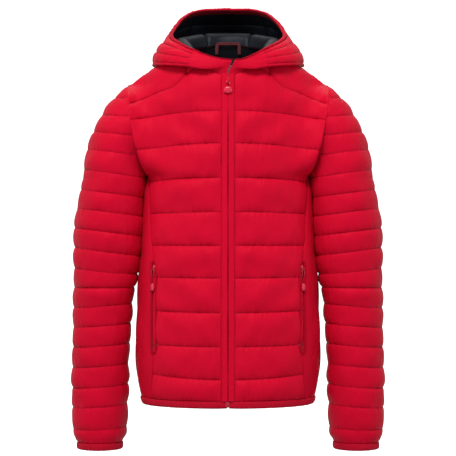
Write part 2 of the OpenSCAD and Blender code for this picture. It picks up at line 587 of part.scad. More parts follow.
back_panel();
front_panel_left();
front_panel_right();
side_panel_left();
side_panel_right();
back_wadding();
front_wadding_left();
front_wadding_right();
back_lining();
front_lining_left();
front_lining_right();
side_lining_left();
side_lining_right();
hem_binding();
sleeve_cap_left();
sleeve_cap_right();
hood_panel_left();
hood_panel_right();
hood_centre_panel();
hood_wadding();
hood_lining();
hood_binding();
zip_tape_left();
zip_tape_right();
zip_teeth_left();
zip_teeth_right();
zip_top_stop_left();
zip_top_stop_right();
zip_box();
zip_pin();
zip_underflap();
pocket_tape_left();
pocket_tape_right();
pocket_teeth_left();
pocket_teeth_right();
pocket_bag_left();
pocket_bag_right();
hanging_loop();
neck_label();
care_label();
sleeve_left();
sleeve_right();
sleeve_wadding_left();
sleeve_wadding_right();
sleeve_lining_left();
sleeve_lining_right();
cuff_binding_left();
cuff_binding_right();
main_slider();
main_pull_loop();
main_pull_grip();
pocket_slider_left();
pocket_slider_right();
pocket_pull_left();
pocket_pull_right();
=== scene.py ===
import json
import math

import bmesh
import bpy
import numpy as np
from bpy.props import FloatProperty, FloatVectorProperty, PointerProperty
from bpy.types import Operator, Panel, PropertyGroup
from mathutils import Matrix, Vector


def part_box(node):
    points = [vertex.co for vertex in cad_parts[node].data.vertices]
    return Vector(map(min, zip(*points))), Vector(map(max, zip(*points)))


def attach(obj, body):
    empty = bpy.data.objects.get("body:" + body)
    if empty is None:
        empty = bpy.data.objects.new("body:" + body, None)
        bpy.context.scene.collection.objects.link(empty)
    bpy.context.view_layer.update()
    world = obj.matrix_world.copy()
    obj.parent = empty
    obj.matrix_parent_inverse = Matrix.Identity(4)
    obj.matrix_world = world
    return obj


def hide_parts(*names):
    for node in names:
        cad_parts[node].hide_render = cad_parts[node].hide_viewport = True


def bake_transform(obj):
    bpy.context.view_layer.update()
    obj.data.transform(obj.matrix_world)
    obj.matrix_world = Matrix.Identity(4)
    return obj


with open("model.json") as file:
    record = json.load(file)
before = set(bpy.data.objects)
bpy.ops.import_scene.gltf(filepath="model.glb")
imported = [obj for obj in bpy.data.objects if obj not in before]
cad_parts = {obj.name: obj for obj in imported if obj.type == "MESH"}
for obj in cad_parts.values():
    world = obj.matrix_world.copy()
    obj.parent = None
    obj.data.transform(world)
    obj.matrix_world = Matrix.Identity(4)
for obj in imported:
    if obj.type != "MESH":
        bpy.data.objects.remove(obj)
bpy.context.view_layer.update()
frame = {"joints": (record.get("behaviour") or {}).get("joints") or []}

bl_info = {
    "name": "Quilted ski jacket",
    "version": (1, 0, 0),
    "blender": (4, 5, 0),
    "location": "3D View > Sidebar > Jacket",
    "description": "Builds the cloth, zips and trims of a hooded quilted jacket round its packed frame",
    "category": "Object",
}

ROOT = "jacket_body"
MM = 0.001


# ---------------------------------------------------------------- sizes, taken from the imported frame
def node_box(name):
    """Lowest and highest corner of a CAD node in millimetres."""
    low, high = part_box(name)
    return np.array(low) / MM, np.array(high) / MM


def joint(name):
    """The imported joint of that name."""
    return [j for j in frame["joints"] if j["name"] == name][0]


LEFT_SWING = joint("sleeve_swing_left")
MID_Y = LEFT_SWING["pos_m"][1] / MM
SWING_X = LEFT_SWING["pos_m"][0] / MM
SWING_Z = LEFT_SWING["pos_m"][2] / MM
HEM_Z = node_box("hem_binding")[0][2]
CUFF_Z = node_box("cuff_binding_left")[0][2]
BINDING_H = 14.0
HEM_TOP = HEM_Z + BINDING_H
SLEEVE_L = SWING_Z - CUFF_Z

CHEST, HIP = 162.0, 184.0
FRONT_D, FRONT_NECK, BACK_D = 122.0, 98.0, 112.0
SHOULDER, TIP_Z, ARMPIT_Z = 200.0, -88.0, -268.0
NECK, NECK_BACK, NECK_DROP = 80.0, 72.0, 72.0
SLEEVE_A, SLEEVE_B, CUFF_A = 62.0, 80.0, 46.0
ARMHOLE_B = SLEEVE_B - 4
POCKET_X, POCKET_TOP, POCKET_LOW = 146.0, -442.0, -612.0
ROUND_N = 2.3
SEAM = 0.4
STEPS_PER_CHANNEL = 14
HOOD_STEPS = 13
HOOD_OPEN = 1.2
ROLL_H = 110.0


# ---------------------------------------------------------------- small maths on whole arrays
def mix(a, b, t):
    """Straight blend from a to b."""
    return a + (b - a) * t


def smooth(t):
    """Eases from 0 to 1 with level ends: 3t^2 - 2t^3."""
    t = np.clip(t, 0, 1)
    return t * t * (3 - 2 * t)


def bell(d, width):
    """1 on a line, falling to 0 away from it as a Gauss curve."""
    return np.exp(-((d / width) ** 2))


def curve(x, pairs):
    """A smooth curve through (x, y) pairs: cubic pieces whose slopes average the neighbours' slopes."""
    px, py = np.array(pairs, float).T
    slope = np.diff(py) / np.diff(px)
    m = np.concatenate([[slope[0]], (slope[:-1] + slope[1:]) / 2, [slope[-1]]])
    m[1:-1] = np.where(slope[:-1] * slope[1:] <= 0, 0, m[1:-1])
    x = np.clip(x, px[0], px[-1])
    i = np.clip(np.searchsorted(px, x) - 1, 0, len(px) - 2)
    h = px[i + 1] - px[i]
    t = (x - px[i]) / h
    return ((2 * t**3 - 3 * t**2 + 1) * py[i] + (t**3 - 2 * t**2 + t) * h * m[i]
            + (3 * t**2 - 2 * t**3) * py[i + 1] + (t**3 - t**2) * h * m[i + 1])


def waves(points, size, seed, count=22, stretch=(1, 1, 1)):
    """Soft random field: the sum of plane waves of about the given wavelength in seeded directions, from -1
    to 1."""
    rng = np.random.default_rng(seed)
    way = rng.normal(size=(count, 3))
    way /= np.linalg.norm(way, axis=1)[:, None]
    k = 2 * math.pi / size * rng.uniform(0.6, 1.5, (count, 1)) * way / np.array(stretch)
    phase = rng.uniform(0, 2 * math.pi, count)
    return np.cos(np.tensordot(points, k.T, 1) + phase).sum(-1) / math.sqrt(count) * 0.8


def folds(points, size, seed, stretch=(1, 1, 1)):
    """Sharp little valleys between rounded crests: one minus the root of the size of a soft random field."""
    return np.sqrt(np.abs(waves(points, size, seed, 18, stretch))) - 0.75


def normals(p, ring):
    """Unit normals of a grid of points, from its differences along rows and columns."""
    if ring:
        du = np.roll(p, -1, 1) - np.roll(p, 1, 1)
    else:
        du = np.gradient(p, axis=1)
    dv = np.gradient(p, axis=0)
    n = np.cross(du, dv)
    return n / np.maximum(np.linalg.norm(n, axis=2), 1e-9)[..., None]


def run_length(p, axis):
    """Distance along the rows or columns of a grid from its first point."""
    step = np.linalg.norm(np.diff(p, axis=axis), axis=2)
    total = np.cumsum(step, axis=axis)
    pad = [(0, 0), (0, 0)]
    pad[axis] = (1, 0)
    return np.pad(total, pad)


def spaced(stops, per, sharp=1.0):
    """Values from the first stop to the last, with `per` steps in each interval that crowd towards its
    ends."""
    t = np.linspace(0, 1, per + 1)[:-1]
    t = mix(t, 0.5 - 0.5 * np.cos(np.pi * t), sharp)
    return np.concatenate([mix(a, b, t) for a, b in zip(stops[:-1], stops[1:])] + [[stops[-1]]])


def channel(q, lines):
    """For a height q among rising sewn lines: share of the way across its channel, and the channel's
    height."""
    lines = np.asarray(lines, float)
    i = np.clip(np.searchsorted(lines, q) - 1, 0, len(lines) - 2)
    low, high = lines[i], lines[i + 1]
    return np.clip((q - low) / (high - low), 0, 1), high - low


# ---------------------------------------------------------------- the body's outline, as in the frame
def side_t(z):
    """Height as a share: 0 at the hem, 1 at the armpit."""
    return (z - HEM_Z) / (ARMPIT_Z - HEM_Z)


def body_half(z):
    """Half width of the body: chest at the armpit, fullest over the hips, gathered at the hem."""
    share = curve(side_t(z), [(0, 0.4), (0.034, 0.64), (0.086, 0.86), (0.19, 1), (0.4, 0.95), (0.5, 0.86),
                              (0.578, 0.73),
                              (0.707, 0.45), (0.81, 0.27), (0.914, 0.18), (1, 0)])
    return mix(CHEST, HIP, share)


def arm_t(z):
    """Height as a share: 0 at the armpit, 1 at the shoulder tip."""
    return np.clip((z - ARMPIT_Z) / (TIP_Z - ARMPIT_Z), 0, 1)


ARM_SHARE = [(0, 0), (0.15, 0.29), (0.3, 0.52), (0.53, 0.73), (0.76, 0.9), (0.93, 0.99), (1, 1)]


def edge_half(z):
    """Half width at a height: the side below the armpit, the armhole edge above it."""
    return np.where(z < ARMPIT_Z, body_half(z), mix(CHEST, SHOULDER, curve(arm_t(z), ARM_SHARE)))


def arm_half(z):
    """Half depth of the armhole ellipse at a height."""
    return np.where(z < ARMPIT_Z, 0, ARMHOLE_B * np.sqrt(np.maximum(0, 1 - (2 * arm_t(z) - 1) ** 2)))


def front_at(z):
    """Depth of the front from the middle plane, straight from hem to neck."""
    return mix(FRONT_D, FRONT_NECK, (z - HEM_Z) / (-NECK_DROP - HEM_Z))


def back_at(z):
    """Depth of the back from the middle plane."""
    return BACK_D * curve((z - HEM_Z) / -HEM_Z,
                          [(0, 0.97), (0.12, 1), (0.4, 0.9), (0.72, 1.02), (0.9, 0.88), (1, 0.64)])


def shoulder_line(x):
    """Height of the shoulder ridge, straight from the neck corner to the tip."""
    return mix(-8, TIP_Z, (x - NECK) / (SHOULDER - NECK))


def front_top(x):
    """Top outline of the front: the neck curve, then the shoulder."""
    return np.where(x < NECK, -NECK_DROP + (NECK_DROP - 8) * np.abs(x / NECK) ** 2.2, shoulder_line(x))


def back_top(x):
    """Top outline of the back: a shallow neck curve, then the shoulder."""
    return np.where(x < NECK, 5 - 13 * (x / NECK) ** 2, shoulder_line(x))


def eased(outline, x):
    """A top outline with its corner rounded, the mean over 16 mm to each side, and a shoulder that stands 5
    mm fuller than a straight line between neck and tip."""
    full = 5 * np.clip((np.abs(x) - NECK) * (SHOULDER - np.abs(x)) / 3600, 0, 1)
    return sum(outline(np.abs(x + k)) for k in (-16, -11, -6, -2, 2, 6, 11, 16)) / 8 + full


def torso_y(x, z, top, deep):
    """Depth of the front or back at x and z: a superellipse round the body that rolls over to the shoulder
    ridge, with the armhole standing open at its edge."""
    share = np.clip(x / edge_half(z), 0, 1)
    across = np.maximum(0, 1 - share**ROUND_N) ** mix(1 / ROUND_N, 0.85, smooth(arm_t(z)))
    neck = deep * np.sqrt(np.maximum(0, 1 - (x / NECK) ** 2))
    roll = np.sqrt(np.maximum(0, 1 - (1 - np.clip((top - z) / ROLL_H, 0, 1)) ** 2))
    return np.maximum(0.4, mix(neck, deep * across, roll) + arm_half(z) * share**8)


def front_point(x, z):
    """Point of the front at x and z."""
    return np.stack([x, MID_Y - torso_y(x, z, np.maximum(z, eased(front_top, x)), front_at(z)), z], -1)


def back_point(x, z):
    """Point of the back at x and z."""
    return np.stack([x, MID_Y + torso_y(x, z, np.maximum(z, eased(back_top, x)), back_at(z)), z], -1)


def seam_x(z):
    """Where the front panel meets the side panel, with the pocket zip set in its straight middle."""
    return curve(z, [(HEM_Z, POCKET_X + 6), (POCKET_LOW - 60, POCKET_X + 4), (POCKET_LOW, POCKET_X),
                     (POCKET_TOP, POCKET_X),
                     (POCKET_TOP + 50, POCKET_X + 6), (ARMPIT_Z, CHEST - 3)])


def lip_at(z):
    """Half the gap at that seam: shut, and open along the pocket zip."""
    return 0.2 + 3.0 * smooth((z - POCKET_LOW + 5) / 10) * smooth((POCKET_TOP + 5 - z) / 10)


# Sewn lines of the front from the hem up: height at the front zip and at the side.
FRONT_LINES = [(HEM_TOP, HEM_TOP), (-664.8, -654), (-601.5, -598), (-536, -532), (-469, -467),
               (-405.8, -406), (-340.3, -345),
               (-274, -282), (-207, -219), (-143.5, -157)]
PLACKET = 13.0


# ---------------------------------------------------------------- mesh helpers
def grid_quads(rows, cols, ring, start=0, flip=False):
    """Quads of a grid of rows by cols points, rows running up; a ring closes each row on itself."""
    wide = cols if ring else cols - 1
    j, i = np.meshgrid(np.arange(rows - 1), np.arange(wide), indexing="ij")
    a = j * cols + i
    b = j * cols + (i + 1) % cols
    quads = np.stack([a, b, b + cols, a + cols], -1).reshape(-1, 4) + start
    return quads[:, ::-1] if flip else quads


def rim_quads(edge_a, edge_b, flip=False):
    """Quads that join two rows of points of equal length."""
    quads = np.stack([edge_a[:-1], edge_a[1:], edge_b[1:], edge_b[:-1]], -1)
    return quads[:, ::-1] if flip else quads


def new_mesh(name, points, quads, mats, slots=None, uv=None, extra=None, smooth_faces=True):
    """A mesh object from points in millimetres and faces, with materials, a UV map and float attributes."""
    mesh = bpy.data.meshes.new(name)
    mesh.from_pydata((points * MM).tolist(), [], quads.tolist() if hasattr(quads, "tolist") else quads)
    for m in mats:
        mesh.materials.append(m)
    if slots is not None:
        mesh.polygons.foreach_set("material_index", np.asarray(slots, np.int32))
    mesh.polygons.foreach_set("use_smooth", np.full(len(mesh.polygons), smooth_faces))
    if uv is not None:
        loop = np.zeros(len(mesh.loops), np.int32)
        mesh.loops.foreach_get("vertex_index", loop)
        layer = mesh.uv_layers.new(name="cloth")
        layer.data.foreach_set("uv", uv[loop].astype(np.float32).ravel())
    for key, values in (extra or {}).items():
        layer = mesh.attributes.new(key, "FLOAT", "POINT")
        layer.data.foreach_set("value", values.astype(np.float32))
    mesh.validate()
    mesh.update()
    thing = bpy.data.objects.new(name, mesh)
    bpy.context.scene.collection.objects.link(thing)
    return thing


def padded_form(name, outer, inner, ring, mats, row=None, tall=None, side=None, neck=0):
    """A closed form of two grids, shell and lining, joined round their edges. The UV map holds distance
    along the rows and up the columns in metres. The row attribute counts sewn lines, tall is the height of
    a channel in millimetres and side the distance to an upright sewn line, so that the finish can draw its
    stitches."""
    rows, cols = outer.shape[:2]
    n = rows * cols
    ids = np.arange(n).reshape(rows, cols)
    parts = [grid_quads(rows, cols, ring), grid_quads(rows, cols, ring, n, True)]
    wrap = (lambda e: np.append(e, e[:1])) if ring else (lambda e: e)
    parts.append(rim_quads(wrap(ids[0]), wrap(ids[0]) + n, True))
    parts.append(rim_quads(wrap(ids[-1]), wrap(ids[-1]) + n))
    if not ring:
        parts.append(rim_quads(ids[:, 0], ids[:, 0] + n))
        parts.append(rim_quads(ids[:, -1], ids[:, -1] + n, True))
    quads = np.concatenate(parts)
    slots = np.zeros(len(quads), np.int32)
    first = len(parts[0])
    slots[first:first + len(parts[1])] = 1
    bottom = first + len(parts[1]) + len(parts[2])
    slots[bottom:bottom + len(parts[3])] = np.abs(outer[-1, :len(parts[3]), 0]) < neck
    across = run_length(outer, 1).reshape(-1)
    up = run_length(outer, 0).reshape(-1)
    uv = np.tile(np.stack([across, up], -1) * MM, (2, 1))
    points = np.concatenate([outer.reshape(n, 3), inner.reshape(n, 3)])
    extra = {}
    for key, values, plain in (("row", row, 0.5), ("tall", tall, 99.0), ("side", side, 99.0)):
        values = np.full(n, plain) if values is None else np.broadcast_to(values, (rows, cols)).reshape(-1)
        extra[key] = np.tile(values, 2)
    thing = new_mesh(name, points, quads, mats, slots, uv, extra)
    if ring:
        around = across.reshape(rows, cols)[:, -1] + np.linalg.norm(outer[:, 0] - outer[:, -1], axis=1)
        layer = thing.data.uv_layers["cloth"]
        uvs = np.zeros(len(thing.data.loops) * 2, np.float32)
        layer.data.foreach_get("uv", uvs)
        uvs = uvs.reshape(-1, 4, 2)
        last = np.arange(cols - 1, (rows - 1) * cols, cols)
        uvs[last, 1, 0], uvs[last, 2, 0] = around[:-1] * MM, around[1:] * MM
        last = last + (rows - 1) * cols
        uvs[last, 2, 0], uvs[last, 1, 0] = around[:-1] * MM, around[1:] * MM
        layer.data.foreach_set("uv", uvs.ravel())
    return thing


def mirrored(thing, name):
    """A copy reflected through the centre plane, with its faces turned back to point outwards."""
    mesh = thing.data.copy()
    mesh.name = name
    co = np.zeros(len(mesh.vertices) * 3, np.float32)
    mesh.vertices.foreach_get("co", co)
    co = co.reshape(-1, 3)
    co[:, 0] *= -1
    mesh.vertices.foreach_set("co", co.ravel())
    mesh.flip_normals()
    mesh.update()
    twin = bpy.data.objects.new(name, mesh)
    bpy.context.scene.collection.objects.link(twin)
    return twin


def tube(path, radius, sides=10, closed=False):
    """Points and faces of a round tube along a path of points; its rings stand square to the path."""
    path = np.asarray(path, float)
    if closed:
        tangent = np.roll(path, -1, 0) - np.roll(path, 1, 0)
    else:
        tangent = np.gradient(path, axis=0)
    tangent /= np.linalg.norm(tangent, axis=1)[:, None]
    guide = np.array([0.0, 0.0, 1.0]) if abs(tangent[:, 2]).mean() < 0.8 else np.array([0.0, 1.0, 0.0])
    side = np.cross(tangent, guide)
    side /= np.maximum(np.linalg.norm(side, axis=1), 1e-9)[:, None]
    up = np.cross(side, tangent)
    a = np.linspace(0, 2 * np.pi, sides, endpoint=False)
    r = np.broadcast_to(np.asarray(radius, float), (len(path),))
    ring = (side[:, None] * np.cos(a)[None, :, None] + up[:, None] * np.sin(a)[None, :, None]) * r[:, None,
                                                                                                   None]
    points = path[:, None] + ring
    quads = grid_quads(len(path), sides, True)
    if closed:
        last = (len(path) - 1) * sides + np.arange(sides)
        first = np.arange(sides)
        quads = np.concatenate([quads, np.stack([last, np.roll(last, -1), np.roll(first, -1), first], -1)])
        return points.reshape(-1, 3), [list(q) for q in quads]
    faces = [list(q) for q in quads]
    faces.append(list(range(sides))[::-1])
    faces.append([(len(path) - 1) * sides + i for i in range(sides)])
    return points.reshape(-1, 3), faces


def merge(parts):
    """Joins several (points, faces) shapes into one."""
    points, faces, start = [], [], 0
    for p, f in parts:
        points.append(p)
        faces += [[i + start for i in q] for q in f]
        start += len(p)
    return np.concatenate(points), faces


def block(x0, x1, y0, y1, z0, z1):
    """A box of six faces between two corners."""
    p = np.array([[x, y, z] for z in (z0, z1) for y in (y0, y1) for x in (x0, x1)], float)
    return p, [[0, 2, 3, 1], [4, 5, 7, 6], [0, 1, 5, 4], [2, 6, 7, 3], [0, 4, 6, 2], [1, 3, 7, 5]]


def bevelled(thing, width, segments=3):
    """Rounds the edges of a hard piece."""
    mod = thing.modifiers.new("soft_edges", "BEVEL")
    mod.width, mod.segments, mod.limit_method = width * MM, segments, "ANGLE"
    mod.harden_normals = False
    return thing


# ---------------------------------------------------------------- materials
class Num:
    """A number socket whose arithmetic adds Math nodes."""

    def __init__(self, bench, socket):
        self.bench, self.socket = bench, socket

    def _math(self, operation, *values):
        return Num(self.bench, self.bench.node("ShaderNodeMath", {"operation": operation}, values)[0])

    def __add__(self, other): return self._math("ADD", self, other)
    def __radd__(self, other): return self._math("ADD", other, self)
    def __sub__(self, other): return self._math("SUBTRACT", self, other)
    def __rsub__(self, other): return self._math("SUBTRACT", other, self)
    def __mul__(self, other): return self._math("MULTIPLY", self, other)
    def __rmul__(self, other): return self._math("MULTIPLY", other, self)
    def __truediv__(self, other): return self._math("DIVIDE", self, other)
    def less(self, other): return self._math("LESS_THAN", self, other)
    def fract(self): return self._math("FRACT", self)
    def sine(self): return self._math("SINE", self)
    def size(self): return self._math("ABSOLUTE", self)
    def power(self, other): return self._math("POWER", self, other)
    def most(self, other): return self._math("MAXIMUM", self, other)
    def least(self, other): return self._math("MINIMUM", self, other)


class Bench:
    """One material and its nodes."""

    def __init__(self, name):
        self.material = bpy.data.materials.new(name)
        self.material.use_nodes = True
        self.tree = self.material.node_tree
        self.tree.nodes.clear()

    def node(self, kind, settings=None, values=None):
        """Adds a node: settings first, then the values or links of its sockets, by order or by name."""
        n = self.tree.nodes.new(kind)
        for key, value in (settings or {}).items():
            setattr(n, key, value)
        pairs = values.items() if isinstance(values, dict) else enumerate(values or [])
        for key, value in pairs:
            if isinstance(value, Num):
                value = value.socket
            if isinstance(value, bpy.types.NodeSocket):
                self.tree.links.new(value, n.inputs[key])
            else:
                n.inputs[key].default_value = value
        return n.outputs

    def place(self):
        return self.node("ShaderNodeTexCoord")["Object"]

    def cloth(self):
        """Distance across and up the cloth in metres."""
        parts = self.node("ShaderNodeSeparateXYZ", None,
                          [self.node("ShaderNodeUVMap", {"uv_map": "cloth"})[0]])
        return Num(self, parts[0]), Num(self, parts[1])

    def value(self, name):
        return Num(self, self.node("ShaderNodeAttribute", {"attribute_name": name})["Fac"])

    def noise(self, scale, detail=3, rough=0.5, place=None):
        outs = self.node("ShaderNodeTexNoise", {"noise_dimensions": "3D"},
                         {"Vector": place or self.place(), "Scale": scale, "Detail": detail,
                          "Roughness": rough})
        return Num(self, outs["Fac"])

    def blend(self, mask, a, b):
        """Colour a where the mask is 0 and b where it is 1."""
        paint = [c if isinstance(c, bpy.types.NodeSocket) else (*c, 1) for c in (a, b)]
        return self.node("ShaderNodeMix", {"data_type": "RGBA"}, {0: mask, 6: paint[0], 7: paint[1]})[2]

    def bump(self, height, distance, strength=1.0, under=None):
        values = {"Height": height, "Distance": distance, "Strength": strength}
        if under is not None:
            values["Normal"] = under
        return self.node("ShaderNodeBump", None, values)[0]

    def finish(self, colour, roughness, normal=None, metallic=0.0, **fixed):
        values = {"Base Color": colour if isinstance(colour, bpy.types.NodeSocket) else (*colour, 1),
                  "Roughness": roughness, "Metallic": metallic}
        values.update({k.replace("_", " "): v for k, v in fixed.items()})
        if normal is not None:
            values["Normal"] = normal
        shader = self.node("ShaderNodeBsdfPrincipled", None, values)[0]
        self.node("ShaderNodeOutputMaterial", None, {"Surface": shader})
        return self.material


def shade(colour, k):
    """A colour made darker or lighter by a factor."""
    return tuple(min(1.0, c * k) for c in colour)


def nylon(name, colour, stitched=True, gloss=0.42, sheen=0.05):
    """Closely woven nylon: a fine plain weave, soft crinkles, slight changes of tone, and sewn lines of short
    stitches, with painted shade darkening the groove along each sewn line."""
    b = Bench(name)
    u, v = b.cloth()
    weave = (u * (2 * math.pi / 0.0007)).sine() * (v * (2 * math.pi / 0.0007)).sine()
    tone = b.noise(9, 4, 0.6)
    crinkle = b.noise(140, 4, 0.62)
    fine = b.noise(520, 2, 0.5)
    base = b.blend(tone, shade(colour, 0.90), shade(colour, 1.08))
    rough = (gloss - 0.05) + crinkle * 0.12
    height = crinkle * 0.5 + fine * 0.12 + weave * 0.05
    normal = b.bump(height.socket, 0.0011, 0.55)
    if stitched:
        d = (((b.value("row") + 0.5).fract() - 0.5).size() * b.value("tall")).least(b.value("side").size())
        run = ((u + v * 0.35) / 0.0034).fract()
        thread = d.less(0.55) * run.less(0.74)
        # Painted shade: the groove along each sewn line is darkened in uneven patches towards 0.38 of the
        # cloth colour, for the shade that falls in it.
        groove_shade = d.less(1.6)
        groove_shade_patches = b.noise(22, 2, 0.5).power(1.6) * (b.noise(6, 2, 0.5) * 1.7 + 0.05)
        base = b.blend((groove_shade * (groove_shade_patches * 0.9)).socket, base, shade(colour, 0.38))
        base = b.blend((thread * 0.75).socket, base, shade(colour, 0.72))
        normal = b.bump((thread * 1.0).socket, 0.0006, 0.8, normal)
    tint = (1, 0.12, 0.16, 1) if colour[0] > 0.2 else (0.8, 0.85, 1, 1)
    return b.finish(base, rough.socket, normal, Sheen_Weight=sheen, Sheen_Roughness=0.4, Sheen_Tint=tint,
                    Specular_IOR_Level=0.16, Specular_Tint=tint)


def elastic(name, colour):
    """Elastic binding: fine ribs along its length, gathered across, with painted highlights on the crests of
    the gathers.
    """
    b = Bench(name)
    u, v = b.cloth()
    ribs = (v * (2 * math.pi / 0.0012)).sine()
    gather = (u * (2 * math.pi / 0.0042) + b.noise(60) * 9).sine()
    base = b.blend(b.noise(26, 3).socket, shade(colour, 0.84), shade(colour, 1.1))
    # Painted highlight: the crests of the gathers are painted lighter, up to 1.12 of the colour.
    base = b.blend((gather * 0.5 + 0.5).power(3.0).socket, base, shade(colour, 1.12))
    normal = b.bump((ribs * 0.3 + gather * 0.7).socket, 0.0007, 0.7)
    return b.finish(base, 0.62, normal, Sheen_Weight=0.12, Sheen_Roughness=0.5, Sheen_Tint=(1, 0.2, 0.25, 1),
                    Specular_IOR_Level=0.25, Specular_Tint=(1, 0.2, 0.25, 1))


def woven(name, colour, pitch=0.0011, rough=0.7):
    """Tape: a fine herringbone of slanting ribs."""
    b = Bench(name)
    u, v = b.cloth()
    slant = ((u / (pitch * 3)).fract() - 0.5).size() * 2
    ribs = ((v + slant * pitch * 1.6) * (2 * math.pi / pitch)).sine()
    # Painted shade and highlight: the colour is darker between the ribs and lighter on them.
    base = b.blend((ribs * 0.5 + 0.5).socket, shade(colour, 0.82), shade(colour, 1.08))
    return b.finish(base, rough, b.bump(ribs.socket, 0.0004, 0.7), Sheen_Weight=0.2)


def moulded(name, colour, rough=0.34, metallic=0.0, coat=0.0):
    """Moulded plastic, soft rubber or lacquered metal with a fine uneven skin."""
    b = Bench(name)
    skin = b.noise(900, 3, 0.6)
    wear = b.noise(160, 4, 0.7)
    base = b.blend(wear.socket, shade(colour, 0.86), shade(colour, 1.1))
    normal = b.bump(skin.socket, 0.00012, 0.5)
    return b.finish(base, (rough - 0.06 + wear * 0.14).socket, normal, metallic, Coat_Weight=coat)


def braid(name, colour):
    """Braided cord: two sets of strands wound opposite ways."""
    b = Bench(name)
    u, v = b.cloth()
    one = (u * (2 * math.pi / 0.0022) + v * (2 * math.pi / 0.0030)).sine()
    two = (u * (2 * math.pi / 0.0022) - v * (2 * math.pi / 0.0030)).sine()
    strands = one.most(two)
    # Painted shade and highlight: the colour is darker between the strands and lighter on them.
    base = b.blend((strands * 0.5 + 0.5).socket, shade(colour, 0.6), shade(colour, 1.12))
    return b.finish(base, 0.6, b.bump(strands.socket, 0.0004, 0.9), Sheen_Weight=0.3)


def backdrop_paint():
    """Even white paint that gives off enough light of its own to stay white."""
    b = Bench("pale_backdrop")
    base = b.blend(b.noise(1.5, 2).socket, (0.96, 0.96, 0.96), (0.98, 0.98, 0.98))
    return b.finish(base, 0.9, Emission_Color=(1, 1, 1, 1), Emission_Strength=0.92)


MATS = {}


def material(name):
    """Each finish is made once, from the colours in the panel."""
    if not MATS:
        c = bpy.context.scene.jacket_colours
        red, lining = tuple(c.shell), tuple(c.lining)
        MATS["shell"] = nylon("shell_nylon", red)
        MATS["plain"] = nylon("side_panel_nylon", shade(red, 0.93), True, 0.46)
        MATS["lining"] = nylon("dark_lining", lining, True, 0.36, 0.02)
        MATS["binding"] = elastic("elastic_binding", shade(red, 0.84))
        # Painted shade: the inner facing of the hood's rim is the red at 0.22, for the shadow inside the
        # hood.
        MATS["rim_inside_painted_shade"] = elastic("rim_facing_painted_shade", shade(red, 0.22))
        MATS["tape"] = woven("zip_tape_weave", shade(red, 0.62))
        MATS["teeth"] = moulded("coil_teeth", shade(red, 0.75), 0.3, 0.0, 0.3)
        MATS["slider"] = moulded("lacquered_slider", shade(red, 0.9), 0.26, 0.3, 0.6)
        MATS["grip"] = moulded("soft_grip", tuple(c.grip), 0.36, 0.0, 0.2)
        MATS["cord"] = braid("pull_cord", shade(red, 0.85))
        MATS["box"] = moulded("retainer_box_plastic", tuple(c.box), 0.32)
        # Painted shade: the hanging loop is the red at 0.2, for the shade at the back of the neck inside the
        # hood.
        MATS["loop"] = woven("loop_tape_painted_shade", shade(red, 0.2), 0.0015)
        MATS["label_grey"] = woven("neck_label_weave", (0.42, 0.43, 0.44), 0.0009)
        MATS["label_white"] = woven("care_label_satin", (0.80, 0.80, 0.79), 0.0006, 0.5)
    return MATS[name]


def on(thing, body, slot, *nodes):
    """Attaches a finished piece to what it rides on and hides the frame parts it stands for; the slot
    argument is not used.
    """
    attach(thing, body)
    if nodes:
        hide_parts(*nodes)
    return thing


# ---------------------------------------------------------------- quilted cloth
def quilt(points, ring, row, tall, edge, seed, grain=None, depth=1.0):
    """Shell and lining of a quilted layer. With c the share of the way across a channel and L its height in
    millimetres, the filling stands h = (4c(1-c))^p * min(1, L/50)^0.7 * edge; the shell lies 3 mm below the
    cut line at the stitches and rises by `puff height` * h, and the lining falls by 6h. Beside the stitches
    the thread draws the cloth into puckers that run across the line and fade within 9 mm."""
    q = bpy.context.scene.jacket_quilting
    n = normals(points, ring)
    c = row - np.floor(row)
    d = np.minimum(c, 1 - c) * tall
    soft = 0.05 * np.minimum(1, 30 / np.maximum(tall, 1))
    h = (np.clip(4 * c * (1 - c), 0, 1) + soft) ** q.roundness - soft**q.roundness
    h = h * np.minimum(1, tall / 50) ** 0.7 * edge
    grain = points if grain is None else grain
    near = np.exp(-d / 9)
    pucker = folds(grain, 17, seed, (1, 1, 3.5)) * near + 0.5 * folds(grain, 8, seed + 1, (1, 1, 3)) * near**2
    h = h * (1 + 0.22 * waves(grain, 150, seed + 5, 14, (1, 1, 1.2)))
    slack = waves(grain, 85, seed + 2, 22, (1, 1, 0.8)) * 1.7 + waves(grain, 32, seed + 3, 22,
                                                                      (1, 1, 1.4)) * 0.6
    crease = np.minimum(0, folds(grain, 60, seed + 4, (0.8, 0.8, 1.6)) + 0.45) * 1.6
    out = -3 + q.height * h + q.pucker * pucker * np.clip(edge + 0.3, 0,
                                                          1) + q.slack * (slack + crease) * np.clip(h, 0, 1)
    shell = points + n * (depth * out)[..., None]
    lining = points - n * (4.2 + 6 * h * depth + 0.5 * slack * h)[..., None]
    return shell, lining


def stacked(stops, per, power=1.0):
    """Rows between rising stops: stops is (lines, columns); returns the heights and the row coordinate."""
    count = len(stops) - 1
    t = np.arange(per) / per
    t = mix(t, 0.5 - 0.5 * np.cos(np.pi * t), power)
    z = [mix(stops[k], stops[k + 1], s) for k in range(count) for s in t] + [stops[-1]]
    row = [k + s for k in range(count) for s in t] + [float(count)]
    tall = np.diff(stops, axis=0)
    tall = np.concatenate([np.repeat(tall, per, 0), tall[-1:]])
    return np.array(z), np.array(row)[:, None] * np.ones(stops.shape[1]), tall


def top_columns(inner, outer, near, far):
    """Columns of a panel's top edge: crowded at the zip side, the neck corner and the armhole."""
    a = spaced([inner, NECK], near, 0.5)
    b = spaced([NECK, outer], far, 0.5)
    return np.concatenate([a[:-1], b])


def yoke_share(x):
    """How far up the top region the yoke line runs: low over the shoulder, close under the neck."""
    return mix(0.97, 0.43, smooth((x - 25) / 90))


